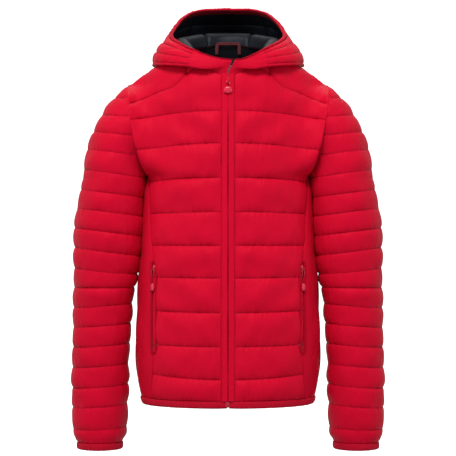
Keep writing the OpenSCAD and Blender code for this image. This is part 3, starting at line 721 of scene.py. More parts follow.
def panel_heights(x_top, edge_of, top_of, half):
    """Heights of all sewn lines at each column, found by stepping x and z together three times."""
    share = (x_top - x_top[0]) / (x_top[-1] - x_top[0])
    stops = []
    for mid, side in FRONT_LINES:
        x = x_top.copy()
        for _ in range(3):
            z = mix(mid, side, (np.abs(x) / 175) ** 2)
            x = mix(x_top[0], edge_of(z), share)
        stops.append(z)
    top = eased(top_of, x_top) - SEAM
    stops.append(mix(stops[-1], top, half(x_top)))
    stops.append(top)
    return np.array(stops), share


def front_half():
    """The left front, one closed quilted form from the hem binding to the shoulder ridge. The strip beside
    the zip is plain cloth, sewn down 13 mm from the centre."""
    inner = 0.9
    strip = spaced([inner, PLACKET], 7, 0.6)
    x_top = np.concatenate([strip[:-1], top_columns(PLACKET, SHOULDER - SEAM, 36, 52)])

    def edge_of(z):
        return np.where(z < ARMPIT_Z, seam_x(z) - lip_at(z) - 0.3, edge_half(z) - SEAM)

    stops, share = panel_heights(x_top, edge_of, front_top, yoke_share)
    z, row, tall = stacked(stops, STEPS_PER_CHANNEL)
    edge_x = edge_of(z)
    x = mix(inner, edge_x, share)
    x = np.where(x_top <= PLACKET, np.minimum(x_top, x + 99), x)
    x = np.maximum(x, np.where(x_top <= PLACKET, x_top, PLACKET + (x_top - PLACKET) * 0.72))
    points = front_point(x, z)
    from_strip = np.clip((x - PLACKET) / 16, 0, 1) ** 0.55
    from_side = np.clip((edge_x - x) / 15, 0, 1) ** 0.5
    edge = from_strip * mix(0.25, 1, from_side)
    wobble = waves(np.stack([z * 0, z * 0, z], -1), 90, 5) * np.clip((20 - x) / 20, 0, 1)
    shell, lining = quilt(points, False, row, tall, edge, 11)
    shell = shell + normals(points,
                            False) * (2.6 * np.exp(-((edge_x - x) / 9)) * smooth((z - ARMPIT_Z) / 20
                                                                                 + 1))[..., None]
    flat = np.clip((PLACKET + 1.5 - x) / 3, 0, 1)
    n = normals(points, False)
    plain = points + n * (-1.6 + 0.35 * folds(points, 22, 77, (1, 1, 1.2)) * np.clip((PLACKET - x) / 6, 0,
                                                                                     1))[..., None]
    shell = mix(shell, plain, flat[..., None])
    shell[..., 0] += 0.5 * wobble
    lining = mix(lining, points - n * 3.6, flat[..., None])
    row = np.where(x < PLACKET + 0.5, 0.5, row)
    return padded_form("front_left", shell, lining, False, [material("shell"), material("lining")],
                       row, np.where(x < PLACKET + 0.5, 99, tall), x - PLACKET, NECK)


def back_whole():
    """The back, one closed quilted form from side seam to side seam up to the neck and shoulder ridges."""
    x_half = np.concatenate([spaced([0.0, NECK], 34, 0.3)[:-1], spaced([NECK, SHOULDER - SEAM], 48, 0.5)])

    def edge_of(z):
        return np.where(z < ARMPIT_Z, seam_x(z) - SEAM, edge_half(z) - SEAM)

    stops, share = panel_heights(x_half, edge_of, back_top, lambda x: mix(0.45, 0.5, smooth(x / 80)))
    z, row, tall = stacked(stops, STEPS_PER_CHANNEL)
    edge_x = edge_of(z)
    x = share * edge_x
    p = back_point(x, z)
    edge = mix(0.25, 1, np.clip((edge_x - x) / 15, 0, 1) ** 0.5)
    whole = np.concatenate([p[:, ::-1], (p * [-1, 1, 1])[:, 1:]], 1)
    both = lambda a: np.concatenate([a[:, ::-1], a[:, 1:]], 1)
    shell, lining = quilt(whole, False, both(row), both(tall), both(edge), 31)
    over = 2.6 * np.exp(-((edge_x - x) / 9)) * smooth((z - ARMPIT_Z) / 20 + 1)
    shell = shell + normals(whole, False) * both(over)[..., None]
    return padded_form("back", shell, lining, False, [material("shell"), material("lining")], both(row),
                       both(tall), None, NECK)


def side_panel():
    """The plain left side panel round the side of the body, soft and slightly wrinkled."""
    v = spaced([0.0, 1.0], 120, 0.2)
    u = spaced([0.0, 1.0], 46, 0.5)
    z = mix(HEM_TOP + 0.3, ARMPIT_Z - 0.6, v)[:, None] * np.ones(len(u))
    half = body_half(z)
    angle = lambda x: np.arccos(np.clip(x / half, 0, 1) ** (ROUND_N / 2))
    a = mix(-angle(seam_x(z) + lip_at(z) + 0.2), angle(seam_x(z) + 0.4), u)
    deep = np.where(a < 0, -front_at(z), back_at(z))
    points = np.stack([half * np.cos(a) ** (2 / ROUND_N), MID_Y + deep * np.abs(np.sin(a)) ** (2 / ROUND_N),
                       z], -1)
    n = normals(points, False)
    edge = np.clip(np.minimum(u, 1 - u) * 8, 0, 1) ** 0.5 \
        * np.clip(np.minimum(v, 1 - v) * 14, 0, 1)[:, None] ** 0.5
    rumple = waves(points, 55, 41, 22, (1, 1, 1.6)) * 1.3 + folds(points, 38, 42, (1, 1, 1.8)) * 1.6 \
        + folds(points, 12, 43, (1, 1, 0.5)) * 0.5 * np.exp(-np.minimum(v, 1 - v) * 40)[:, None]
    rumple = rumple + 3.2 * bell(z + 370, 90) + 2.6 * bell(z + 295, 40)
    shell = points + n * (-2.4 + 2.2 * edge + rumple * (0.35 + 0.65 * edge))[..., None]
    lining = points - n * (6.5 + 2.5 * edge + 0.5 * rumple)[..., None]
    return padded_form("side_left", shell, lining, False, [material("plain"), material("lining")])


def hem_band():
    """Elastic hem binding: a folded band that the elastic draws into gathers, round the body from zip to
    zip."""
    turns = np.linspace(0, 1, 760)
    v = np.linspace(0, 1, 13)[:, None]
    z = mix(HEM_Z, HEM_TOP - 0.3, v) * np.ones(len(turns))
    half = body_half(z)
    start = np.arccos((1 - (2.0 / half) ** ROUND_N) ** 0.5)
    a = mix(-np.pi / 2 + start, 1.5 * np.pi - start, turns)
    deep = np.where(np.sin(a) < 0, front_at(z), back_at(z))
    points = np.stack([half * np.sign(np.cos(a)) * np.abs(np.cos(a)) ** (2 / ROUND_N),
                       MID_Y + deep * np.sign(np.sin(a)) * np.abs(np.sin(a)) ** (2 / ROUND_N), z], -1)
    # Beside the zip the band thins and sinks back, so that the lowered slider's pull hangs clear of it.
    points[..., 1] += 5.0 * bell(points[..., 0], 13) * (points[..., 1] < MID_Y)
    return gathered("hem_band", points, v, 51, 0.5, 9.8)


def gathered(name, points, v, seed, out, inside):
    """A band of folded elastic round an edge: rounded at both sides, drawn into gathers every 6 to 9 mm."""
    n = normals(points, False)
    fold = np.clip(4 * v * (1 - v), 0, 1) ** 0.4
    gather = folds(points, 15, seed, (1, 1, 8)) * 1.1 + waves(points, 8, seed + 1, 22, (1, 1, 6)) * 0.35 \
        + waves(points, 90, seed + 2) * 0.7
    shell = points + n * (out - 2.2 + 2.6 * fold + gather * 0.8)[..., None]
    lining = points - n * (inside - 2 + 2 * fold - gather * 0.6)[..., None]
    return padded_form(name, shell, lining, False, [material("binding"), material("binding")])


SLEEVE_LINES = [-798, -772, -729, -690, -649, -609, -569, -530, -490, -451, -410, -371, -332, -295, -256,
                -215, -180, -146,
                -112, -62]


def sleeve_ring(theta, z):
    """A point of the sleeve's outline at a height."""
    d = (SWING_Z - z) / SLEEVE_L
    shift = curve(d, [(0, 0), (0.07, 0.27), (0.18, 0.43), (0.26, 0.54), (0.42, 0.73), (0.56, 0.88),
                      (0.75, 0.97), (1, 1)])
    wide = SLEEVE_A * curve(d, [(0, 1), (0.07, 1.03), (0.18, 1.09), (0.26, 1.05), (0.42, 0.97),
                                (0.56, 0.93), (0.88, 0.89),
                                (0.945, 0.86), (0.975, 0.76), (1, 0.742)])
    a = mix(wide, CUFF_A, smooth((d - 0.94) / 0.06))
    b = SLEEVE_B * curve(d, [(0, 1), (0.2, 0.95), (0.42, 0.82), (0.7, 0.72), (0.94, 0.65), (0.975, 0.6),
                             (1, 0.59)])
    return np.stack([SWING_X + 28 * shift + a * np.cos(theta), MID_Y + b * np.sin(theta), z + 0 * theta], -1)


def sleeve_tilt(z, theta):
    """How far a sewn line of the sleeve lies below its outer end, towards the body."""
    drop = mix(-8, 17, smooth((z + 520) / 80)) * smooth((z + 796) / 50)
    return drop * (1 - np.cos(theta)) / 2


def sleeve_whole():
    """The left sleeve from cuff to armhole, one closed quilted form. Below the swing axis it follows the
    arm; above it a cubic curve from each point of the ring, leaving upwards, arrives at the armhole seam
    from outside."""
    cols = 176
    theta = np.linspace(0, 2 * np.pi, cols, endpoint=False) + np.pi * 0.75
    lines = [q for q in SLEEVE_LINES if q < SWING_Z - 15]
    stops = [q - sleeve_tilt(float(q), theta) for q in lines] + [np.full(cols, SWING_Z)]
    z, _, _ = stacked(np.array(stops), 11)
    tube_part = sleeve_ring(theta[None] * np.ones_like(z), z)
    p0 = sleeve_ring(theta, np.full(cols, SWING_Z))
    up = (1 + np.cos(theta)) / 2
    p1 = np.stack([mix(CHEST, SHOULDER, curve(up, ARM_SHARE)) - 4, MID_Y + (ARMHOLE_B - 1) * np.sin(theta),
                   mix(ARMPIT_Z, TIP_Z, up)], -1)
    reach = np.linalg.norm(p1 - p0, axis=1)[:, None]
    t0 = reach * 0.85 * np.array([0, 0, 1.0])
    t1 = reach * np.stack([np.full(cols, -0.85), np.zeros(cols), 0.42 * np.cos(theta)], -1)
    v = np.linspace(0, 1, 117)[1:, None, None]
    cap = p0 * (2 * v**3 - 3 * v**2 + 1) + t0 * (v**3 - 2 * v**2 + v) + p1 * (3 * v**2
                                                                              - 2 * v**3) + t1 * (v**3 - v**2)
    points = np.concatenate([tube_part, cap])
    th = theta[None] * np.ones(points.shape[:2])
    lean = 4.5 * bell(points[..., 2] + 370, 80) + 5.5 * bell(points[..., 2] + 290,
                                                             42) + 4 * bell(points[..., 2] + 440, 40)
    points[..., 0] -= smooth(-np.cos(th)) * lean
    q = points[..., 2] + sleeve_tilt(points[..., 2], th)
    c, tall = channel(q, SLEEVE_LINES)
    i = np.searchsorted(SLEEVE_LINES, q.ravel()).reshape(q.shape) - 1
    row = np.clip(i, 0, None) + c
    from_seam = run_length(points, 0)
    from_seam = from_seam[-1:] - from_seam
    edge = mix(0.45, 1, np.clip(from_seam / 14, 0, 1) ** 0.5)
    # Under the arm the channels are squeezed together and lie flatter.
    edge = edge * mix(1, 0.7, smooth((points[..., 2] + 330) / 60) * smooth(-np.cos(th) * 1.5))
    shell, lining = quilt(points, True, row, tall, edge, 61, None, 0.72)
    return padded_form("sleeve_left_cloth", shell, lining, True, [material("shell"), material("lining")],
                       row, tall)


def cuff_band():
    """Elastic cuff binding of the left sleeve, a closed gathered band."""
    cols = 190
    theta = np.linspace(0, 2 * np.pi, cols, endpoint=False) + np.pi * 0.75
    v = np.linspace(0, 1, 12)[:, None]
    z = mix(CUFF_Z, CUFF_Z + BINDING_H - 0.3, v) * np.ones(cols)
    points = sleeve_ring(theta[None] * np.ones_like(z), z)
    n = normals(points, True)
    fold = np.clip(4 * v * (1 - v), 0, 1) ** 0.4
    gather = folds(points, 14, 71, (1, 1, 8)) * 1.1 + waves(points, 7, 72, 22, (1, 1, 6)) * 0.3
    shell = points + n * (-1.7 + 2.6 * fold + gather * 0.8)[..., None]
    lining = points - n * (6.5 + 2 * fold - gather * 0.5)[..., None]
    return padded_form("cuff_left", shell, lining, True, [material("binding"), material("binding")])


# ---------------------------------------------------------------- hood
# Rows run from the front edge round the side to the back; each holds the outward reach and the height of
# eight
# points from the neck seam to the rim, in millimetres.
HOOD_ROWS = np.array([
    [[0, 0], [1, 5], [2, 9], [3, 13], [4, 17], [5, 21], [5, 25], [5, 28]],
    [[0, 0], [6, 1], [14, -6], [23, -13], [27, -8], [25, 4], [21, 14], [17, 22]],
    [[0, 0], [9, 3], [28, -12], [52, -36], [66, -38], [64, -18], [48, 2], [30, 14]],
    [[0, 0], [10, 10], [32, 0], [60, -32], [79, -42], [72, -14], [58, 10], [38, 34]],
    [[0, 0], [8, 12], [31, 5], [64, -30], [90, -42], [92, -4], [72, 38], [46, 68]],
    [[0, 0], [8, 12], [32, 8], [70, -36], [104, -56], [114, -10], [84, 44], [24, 68]]], float)
HOOD_LINES = [0.0, 0.35, 0.5, 0.62, 0.74, 0.86, 0.955]
HOOD_SEAM = 148.0


def spline_weights(at, count, reflect):
    """Weights of the control points for a Catmull-Rom curve at each parameter; the ends are reflected or
    run on."""
    w = np.zeros((len(at), count))
    each = np.arange(len(at))
    i = np.clip(np.floor(at).astype(int), 0, count - 2)
    t = at - i
    parts = [(-t + 2 * t**2 - t**3) / 2, (2 - 5 * t**2 + 3 * t**3) / 2, (t + 4 * t**2 - 3 * t**3) / 2,
             (t**3 - t**2) / 2]
    for k, part in enumerate(parts):
        m = i - 1 + k
        before, after = m < 0, m >= count
        if reflect:
            w[each, np.where(before, -m, np.where(after, 2 * (count - 1) - m, m))] += part
            continue
        within = ~(before | after)
        w[each[within], m[within]] += part[within]
        for past, end, back in ((before, 0, 1), (after, count - 1, count - 2)):
            w[each[past], end] += 2 * part[past]
            w[each[past], back] -= part[past]
    return w


def hood_points(phi, v):
    """Points of the hood for angles round the neck in degrees and shares of the way from the neck seam to
    the rim."""
    a = np.where(phi > 180, 360 - phi, phi)
    across = spline_weights(a / 36, 6, True)
    along = spline_weights(v * 7, 8, False)
    reach, rise = np.moveaxis(np.einsum("vk,akc,fa->vfc", along, HOOD_ROWS, across), 2, 0)
    p = np.radians(phi)
    x = NECK * np.sin(p)
    front = np.cos(p) > 0
    y = np.where(front, -FRONT_NECK, -NECK_BACK) * np.cos(p)
    z = np.where(front, -NECK_DROP + (NECK_DROP - 8) * np.abs(x / NECK) ** 2.2, 5 - 13 * (x / NECK) ** 2)
    reach = reach * (1 - 2 / 36 * 0.5 * v[:, None] * np.abs(np.sin(p)))
    lift = 9 * v[:, None] * (a / 180)
    tuck = np.clip(1 - v / 0.05, 0, 1)[:, None]
    lean = np.exp(-((np.minimum(phi, 360 - phi)) / 24) ** 2)
    part = np.where(phi < 180, 1.0, -1.0) * 1.7 * np.exp(-(np.minimum(phi, 360 - phi) / 9) ** 2)
    skew = (13 * lean + part) * v[:, None] ** 1.2
    reach = reach - 3 * tuck
    return np.stack([x + np.sin(p) * reach + skew, MID_Y + y - np.cos(p) * reach,
                     z + rise + lift - 7 * tuck], -1)


def hood_whole():
    """The hood hanging behind the neck, one closed quilted form with its two panel seams, from neck seam to
    rim."""
    phi = np.concatenate([spaced([HOOD_OPEN, HOOD_SEAM, 360 - HOOD_SEAM], 118, 0.25)[:-1],
                          spaced([360 - HOOD_SEAM, 360 - HOOD_OPEN], 118, 0.25)])
    v, row, _ = stacked(np.array(HOOD_LINES)[:, None] * np.ones((1, len(phi))), HOOD_STEPS, 0.9)
    points = hood_points(phi, v[:, 0])
    length = run_length(points, 0)
    marks = np.arange(0, len(v), HOOD_STEPS)
    tall = np.diff(length[marks], axis=0)
    tall = np.concatenate([np.repeat(tall, HOOD_STEPS, 0), tall[-1:]])
    grain = np.stack([run_length(points, 1), length * 0, length], -1)
    seam = np.minimum(np.abs(phi - HOOD_SEAM), np.abs(phi - 360 + HOOD_SEAM)) * 1.9
    end = np.minimum(phi - HOOD_OPEN, 360 - HOOD_OPEN - phi) * 1.5
    edge = np.clip(seam / 9, 0, 1) ** 0.5 * mix(0.2, 1, np.clip(end / 10, 0, 1) ** 0.5)
    edge = np.ones(len(v))[:, None] * edge
    fade = smooth((np.minimum(phi, 360 - phi) - 26) / 34)
    edge = edge * mix(0.15, 1, fade)
    shell, lining = quilt(points, False, row, tall, edge, 81, grain, 0.92)
    shell = mix(points - 1.5 * normals(points, False), shell, mix(0.25, 1, fade)[None, :, None])
    row = np.where(fade[None] < 0.5, 0.5, row)
    side = np.where(phi < 180, phi - HOOD_SEAM, phi - 360 + HOOD_SEAM)[None] * 1.9 * np.ones((len(v), 1))
    return padded_form("hood", shell, lining, False, [material("shell"), material("lining")], row, tall, side)


def hood_rim():
    """Gathered elastic binding round the hood's rim; its inner facing carries painted shade, a much darker
    red.
    """
    phi = np.linspace(HOOD_OPEN, 360 - HOOD_OPEN, 700)
    v = np.linspace(0, 1, 12)
    points = hood_points(phi, mix(0.958, 1.0, v))
    n = normals(points, False)
    run = run_length(points, 1)
    grain = np.stack([run, run * 0, run * 0], -1)
    fold = (np.clip(4 * v * (1 - v), 0, 1) ** 0.4)[:, None]
    gather = folds(grain, 13, 91) * 1.2 + waves(grain, 7, 92) * 0.4 + waves(grain, 60, 93) * 0.8
    shell = points + n * (-2.0 + 2.6 * fold + gather * 0.9)[..., None]
    lining = points - n * (5.6 + 2 * fold - gather * 0.6)[..., None]
    return padded_form("hood_rim", shell, lining, False, [material("binding"), material("rim_inside_painted_shade")])


# ---------------------------------------------------------------- zips
def on_axes(points, origin, lean, turn=0.0):
    """Places a zip's own shape: z runs up along the zip, y inwards, x across; then leaned about X and
    moved."""
    c, s = math.cos(turn), math.sin(turn)
    x, y, z = points[:, 0] * c - points[:, 1] * s, points[:, 0] * s + points[:, 1] * c, points[:, 2]
    c, s = math.cos(-lean), math.sin(-lean)
    return np.stack([x, y * c - z * s, y * s + z * c], -1) + np.asarray(origin, float)


ZIP_LEAN = math.atan((FRONT_D - FRONT_NECK) / (-HEM_Z - NECK_DROP))
ZIP_L = (-HEM_Z - NECK_DROP) / math.cos(ZIP_LEAN)
ZIP_ORIGIN = (0.0, MID_Y - FRONT_NECK, -NECK_DROP)
ZIP_LOW = -ZIP_L + 3
ZIP_TOP = -4.0
STOP_L, SLIDER_L = 3.0, 16.0
SLIDER_Z = ZIP_TOP - STOP_L - SLIDER_L - 1
MAIN_PIVOT = (0.0, -1.8, SLIDER_Z + 8)


def on_zip(points):
    """Places a shape on the front zip."""
    return on_axes(points, ZIP_ORIGIN, ZIP_LEAN)


def pocket_frame():
    """Origin, lean and turn of the left pocket zip, laid on the front at its seam."""
    at = lambda x, z: front_point(np.array(x), np.array(z))
    half = (POCKET_TOP + POCKET_LOW) / 2
    top, low, mid = at(POCKET_X, POCKET_TOP), at(POCKET_X, POCKET_LOW), at(POCKET_X, half)
    lean = math.atan((top[1] - low[1]) / (POCKET_TOP - POCKET_LOW))
    slope = at(POCKET_X + 4, half) - at(POCKET_X - 4, half)
    sag = (top[1] + low[1]) / 2 - mid[1]
    return top - [0, sag / 2, 0], lean, math.atan(slope[1] / slope[0]), (POCKET_TOP
                                                                         - POCKET_LOW) / math.cos(lean)


POCKET_ORIGIN, POCKET_LEAN, POCKET_TURN, POCKET_RUN = pocket_frame()
POCKET_SLIDER_Z = -15.0
POCKET_PIVOT = (0.0, -2.4, -11.0)


def on_pocket(points):
    """Places a shape on the left pocket zip."""
    return on_axes(points, POCKET_ORIGIN, POCKET_LEAN, POCKET_TURN)


def strip(name, x0, x1, z0, z1, y0, y1, place, mat, across=10, pitch=3.0, ripple=0.15, seed=1):
    """A thin woven strip: two faces and its edges, very slightly rippled along its length."""
    u = np.linspace(0, 1, across)
    v = np.linspace(0, 1, max(3, int((z1 - z0) / pitch)))[:, None]
    x, z = mix(x0, x1, u) + 0 * v, mix(z0, z1, v) + 0 * u
    wave = waves(np.stack([x, x * 0, z], -1), 26, seed) * ripple
    outer = np.stack([x, y0 + wave, z], -1)
    inner = np.stack([x, y1 + wave, z], -1)
    shape = outer.shape
    outer, inner = place(outer.reshape(-1, 3)).reshape(shape), place(inner.reshape(-1, 3)).reshape(shape)
    return padded_form(name, outer, inner, False, [mat, mat])


COIL_WIRE = 0.42


def coil(z0, z1, pitch, y_mid, half, inner_x):
    """One side of a coil zip: a filament wound in flat loops, radius COIL_WIRE, whose heads stand at the
    inner edge."""
    count = int((z1 - z0) / pitch)
    steps = 8
    a = np.arange(count * steps + 1) / steps * 2 * np.pi
    width = half - inner_x - 0.6
    x = inner_x + 0.5 + width * (0.5 - 0.5 * np.cos(a))
    y = y_mid + 0.62 * np.sin(a)
    z = z0 + a / (2 * np.pi) * pitch
    return tube(np.stack([x, y, z], -1), COIL_WIRE, 6)


def loose_uv(thing):
    """Gives a small piece a UV map in metres from its own coordinates, for finishes that need one."""
    mesh = thing.data
    co = np.zeros(len(mesh.vertices) * 3, np.float32)
    mesh.vertices.foreach_get("co", co)
    loop = np.zeros(len(mesh.loops), np.int32)
    mesh.loops.foreach_get("vertex_index", loop)
    layer = mesh.uv_layers.get("cloth") or mesh.uv_layers.new(name="cloth")
    layer.data.foreach_set("uv", co.reshape(-1, 3)[loop][:, [0, 2]].ravel())
    return thing


def slider_shape(half, long, y0, pivot_y):
    """A zip slider: two shield-shaped plates with rims, the wedge between them and the arched bail on top."""
    outline = np.array([(-half, 2), (-half + 1.2, 0.4), (-half + 3, 0), (half - 3, 0), (half - 1.2, 0.4),
                        (half, 2), (half, long - 6),
                        (half - 0.6, long - 2.4), (half - 2.2, long - 0.4), (half - 3.2, long),
                        (-half + 3.2, long),
                        (-half + 2.2, long - 0.4), (-half + 0.6, long - 2.4), (-half, long - 6)])
    parts = []
    for near, far in ((y0, y0 + 1.2), (y0 + 3.8, y0 + 5.0)):
        n = len(outline)
        p = np.array([[x, y, z] for y in (near, far) for x, z in outline])
        faces = [list(range(n)), [n + i for i in range(n)][::-1]]
        faces += [[(i + 1) % n, i, n + i, n + (i + 1) % n] for i in range(n)]
        parts.append((p, faces))
    wedge = np.array([(-0.9, long - 8), (0.9, long - 8), (1.6, long - 1.5), (-1.6, long - 1.5)])
    p = np.array([[x, y, z] for y in (y0 + 1.1, y0 + 3.9) for x, z in wedge])
    parts.append((p, [[0, 1, 2, 3], [7, 6, 5, 4], [1, 0, 4, 5], [2, 1, 5, 6], [3, 2, 6, 7], [0, 3, 7, 4]]))
    a = np.linspace(0, np.pi, 13)
    reach = (long - 5.5) - 2.0
    arch = np.stack([0 * a, y0 + 0.4 - (y0 - pivot_y + 2.4) * np.sin(a) ** 0.8,
                     2.0 + reach * 0.5 * (1 - np.cos(a)) + 1.2], -1)
    points, faces = tube(arch, 1.0, 8)
    points = points * [1.35, 1, 1]
    parts.append((points, faces))
    return merge(parts)


def flat_outline(outline, y0, y1, rounds=2):
    """A moulded plate: an outline in x and z rounded by corner cutting, extruded from y0 to y1 with
    pillowed faces."""
    o = np.array(outline, float)
    for _ in range(rounds):
        nxt = np.roll(o, -1, 0)
        o = np.stack([o * 0.75 + nxt * 0.25, o * 0.25 + nxt * 0.75], 1).reshape(-1, 2)
    n = len(o)
    mid = o.mean(0)
    half = (y1 - y0) / 2
    rings = []
    for k, (scale, y) in enumerate([(0.55, y0), (0.84, y0 + 0.12 * half), (0.96, y0 + 0.45 * half),
                                    (1, y0 + half),
                                    (0.96, y1 - 0.45 * half), (0.84, y1 - 0.12 * half), (0.55, y1)]):
        ring = mid + (o - mid) * scale
        rings.append(np.stack([ring[:, 0], np.full(n, y), ring[:, 1]], -1))
    p = np.concatenate(rings)
    faces = [[k * n + i, (k + 1) * n + i, (k + 1) * n + (i + 1) % n,
              k * n + (i + 1) % n] for k in range(6) for i in range(n)]
    faces += [list(range(n)), [6 * n + i for i in range(n)][::-1]]
    return p, faces


def fix_faces(thing):
    """Turns every face of a small closed piece outwards."""
    bm = bmesh.new()
    bm.from_mesh(thing.data)
    bmesh.ops.recalc_face_normals(bm, faces=bm.faces)
    bm.to_mesh(thing.data)
    bm.free()
    return thing


def hard(name, shape, place, mat, bevel=0.25):
    """A small hard piece: placed, faces outwards, edges eased."""
    points, faces = shape
    thing = new_mesh(name, place(points), faces, [material(mat)])
    loose_uv(fix_faces(thing))
    if bevel:
        bevelled(thing, bevel, 2)
    return thing


def pull_cord(spread, drop, radius):
    """The wire loop of a pull: across through the bail and down both sides."""
    a = np.linspace(0, np.pi / 2, 6)[1:-1]
    r = 1.6
    left = [(-spread, 0, -drop), (-spread, 0, -drop * 0.5), (-spread, 0, -r)]
    bend = [(-spread + r - r * math.cos(t), 0, -r + r * math.sin(t)) for t in a]
    half = left + bend + [(-spread + r, 0, 0), (0, 0, 0)]
    path = half + [(-x, y, z) for x, y, z in half[-2::-1]]
    return tube(np.array(path, float), radius, 10)


def on_pivot(place, pivot):
    """A placing function whose origin is moved to a pull's pivot."""
    return lambda p: place(p + np.asarray(pivot, float))


def zip_end(side, phi):
    """The last stretch of coil along the hood's front edge, above the slider where the zip stands open."""
    v = np.linspace(0.0, 0.95, 16 * 8)
    edge = hood_points(np.full(1, phi), v)[:, 0]
    turn = np.linspace(0, 16 * 2 * np.pi, len(v))
    inward = -1 if phi < 180 else 1
    path = edge + np.stack([inward * (0.5 + 0.8 * (0.5 - 0.5 * np.cos(turn))), 2.4 + 0.7 * np.sin(turn),
                            0 * turn], -1)
    thing = new_mesh("zip_end_" + side, *tube(path, 0.5, 6), [material("tape")])
    return on(loose_uv(fix_faces(thing)), ROOT, "teeth_red")


def build_front_zip():
    """Tapes, coil teeth, stops, retainer box, pin and the cloth strip behind the front zip."""
    zip_end("left", HOOD_OPEN)
    zip_end("right", 360 - HOOD_OPEN)
    for side, sign in (("left", 1), ("right", -1)):
        flip = lambda p, k=sign: on_zip(p * [k, 1, 1])
        tape = strip("zip_tape_" + side, 2.7, 15.4, ZIP_LOW + 1, ZIP_TOP, 4.1, 4.9, flip, material("tape"),
                     8, 3, 0.1)
        if sign < 0:
            tape.data.flip_normals()
        on(tape, ROOT, "tape_red", "zip_tape_" + side)
        points, faces = coil(ZIP_LOW + 12, ZIP_TOP - 3, bpy.context.scene.jacket_zips.pitch, 4.5, 2.6, 0.15)
        teeth = new_mesh("zip_coil_" + side, flip(points), faces, [material("teeth")])
        loose_uv(fix_faces(teeth))
        on(teeth, ROOT, "teeth_red", "zip_teeth_" + side)
        stop = hard("zip_stop_" + side, flat_outline([(0.8, -3), (2.7, -3), (2.7, 0), (0.8, 0)], 3.4, 5.6),
                    lambda p: flip(p + [0, 0, ZIP_TOP]),
                    "slider", 0)
        on(stop, ROOT, "stop_metal", "zip_top_stop_" + side)
    box = hard("retainer_box", flat_outline([(-5.2, -1), (3, -1), (3, 10.8), (-5.2, 10.8)], 2.4, 6.6, 1),
               lambda p: on_zip(p + [0, 0, ZIP_LOW]), "box", 0)
    on(box, ROOT, "box_plastic", "zip_box")
    pin = hard("retainer_pin", block(0.9, 2.6, 3.5, 5.5, ZIP_LOW + 1, ZIP_LOW + 11.6), on_zip, "box")
    on(pin, ROOT, "box_plastic", "zip_pin")
    flap = strip("zip_guard", -15.5, 15.5, ZIP_LOW, ZIP_TOP - 2, 7.9, 8.9, on_zip, material("shell"), 14, 4,
                 0.3, 3)
    on(flap, ROOT, "shell_red", "zip_underflap")


def build_main_slider():
    """Front zip slider, the wire loop through its bail and the moulded grip with its finger ribs."""
    slider = hard("front_slider", slider_shape(5.5, 16, 2.0, -1.8), lambda p: on_zip(p + [0, 0, SLIDER_Z]),
                  "slider", 0.22)
    on(slider, "main_slider", "slider_red", "main_slider")
    hang = on_pivot(on_zip, MAIN_PIVOT)
    loop = hard("pull_loop", pull_cord(3.4, 12.5, 1.0), hang, "slider", 0)
    on(loop, "main_pull", "slider_red", "main_pull_loop")
    outline = [(-5, -23), (5, -23), (8.6, -20), (8.4, -16), (5.6, -9.4), (-5.6, -9.4), (-8.4, -16),
               (-8.6, -20)]
    body = flat_outline(outline, -2.5, 2.5, 2)
    ribs = [flat_outline([(-w, z - 0.55), (w, z - 0.55), (w, z + 0.55), (-w, z + 0.55)], -3.0, 3.0, 1)
            for z, w in ((-21.0, 5.0), (-18.8, 6.6), (-16.6, 6.4), (-14.4, 5.2))]
    grip = hard("pull_grip", merge([body] + ribs), lambda p: hang(p + [0, 1.3, 0]), "grip", 0)
    on(grip, "main_pull", "grip_red", "main_pull_grip")


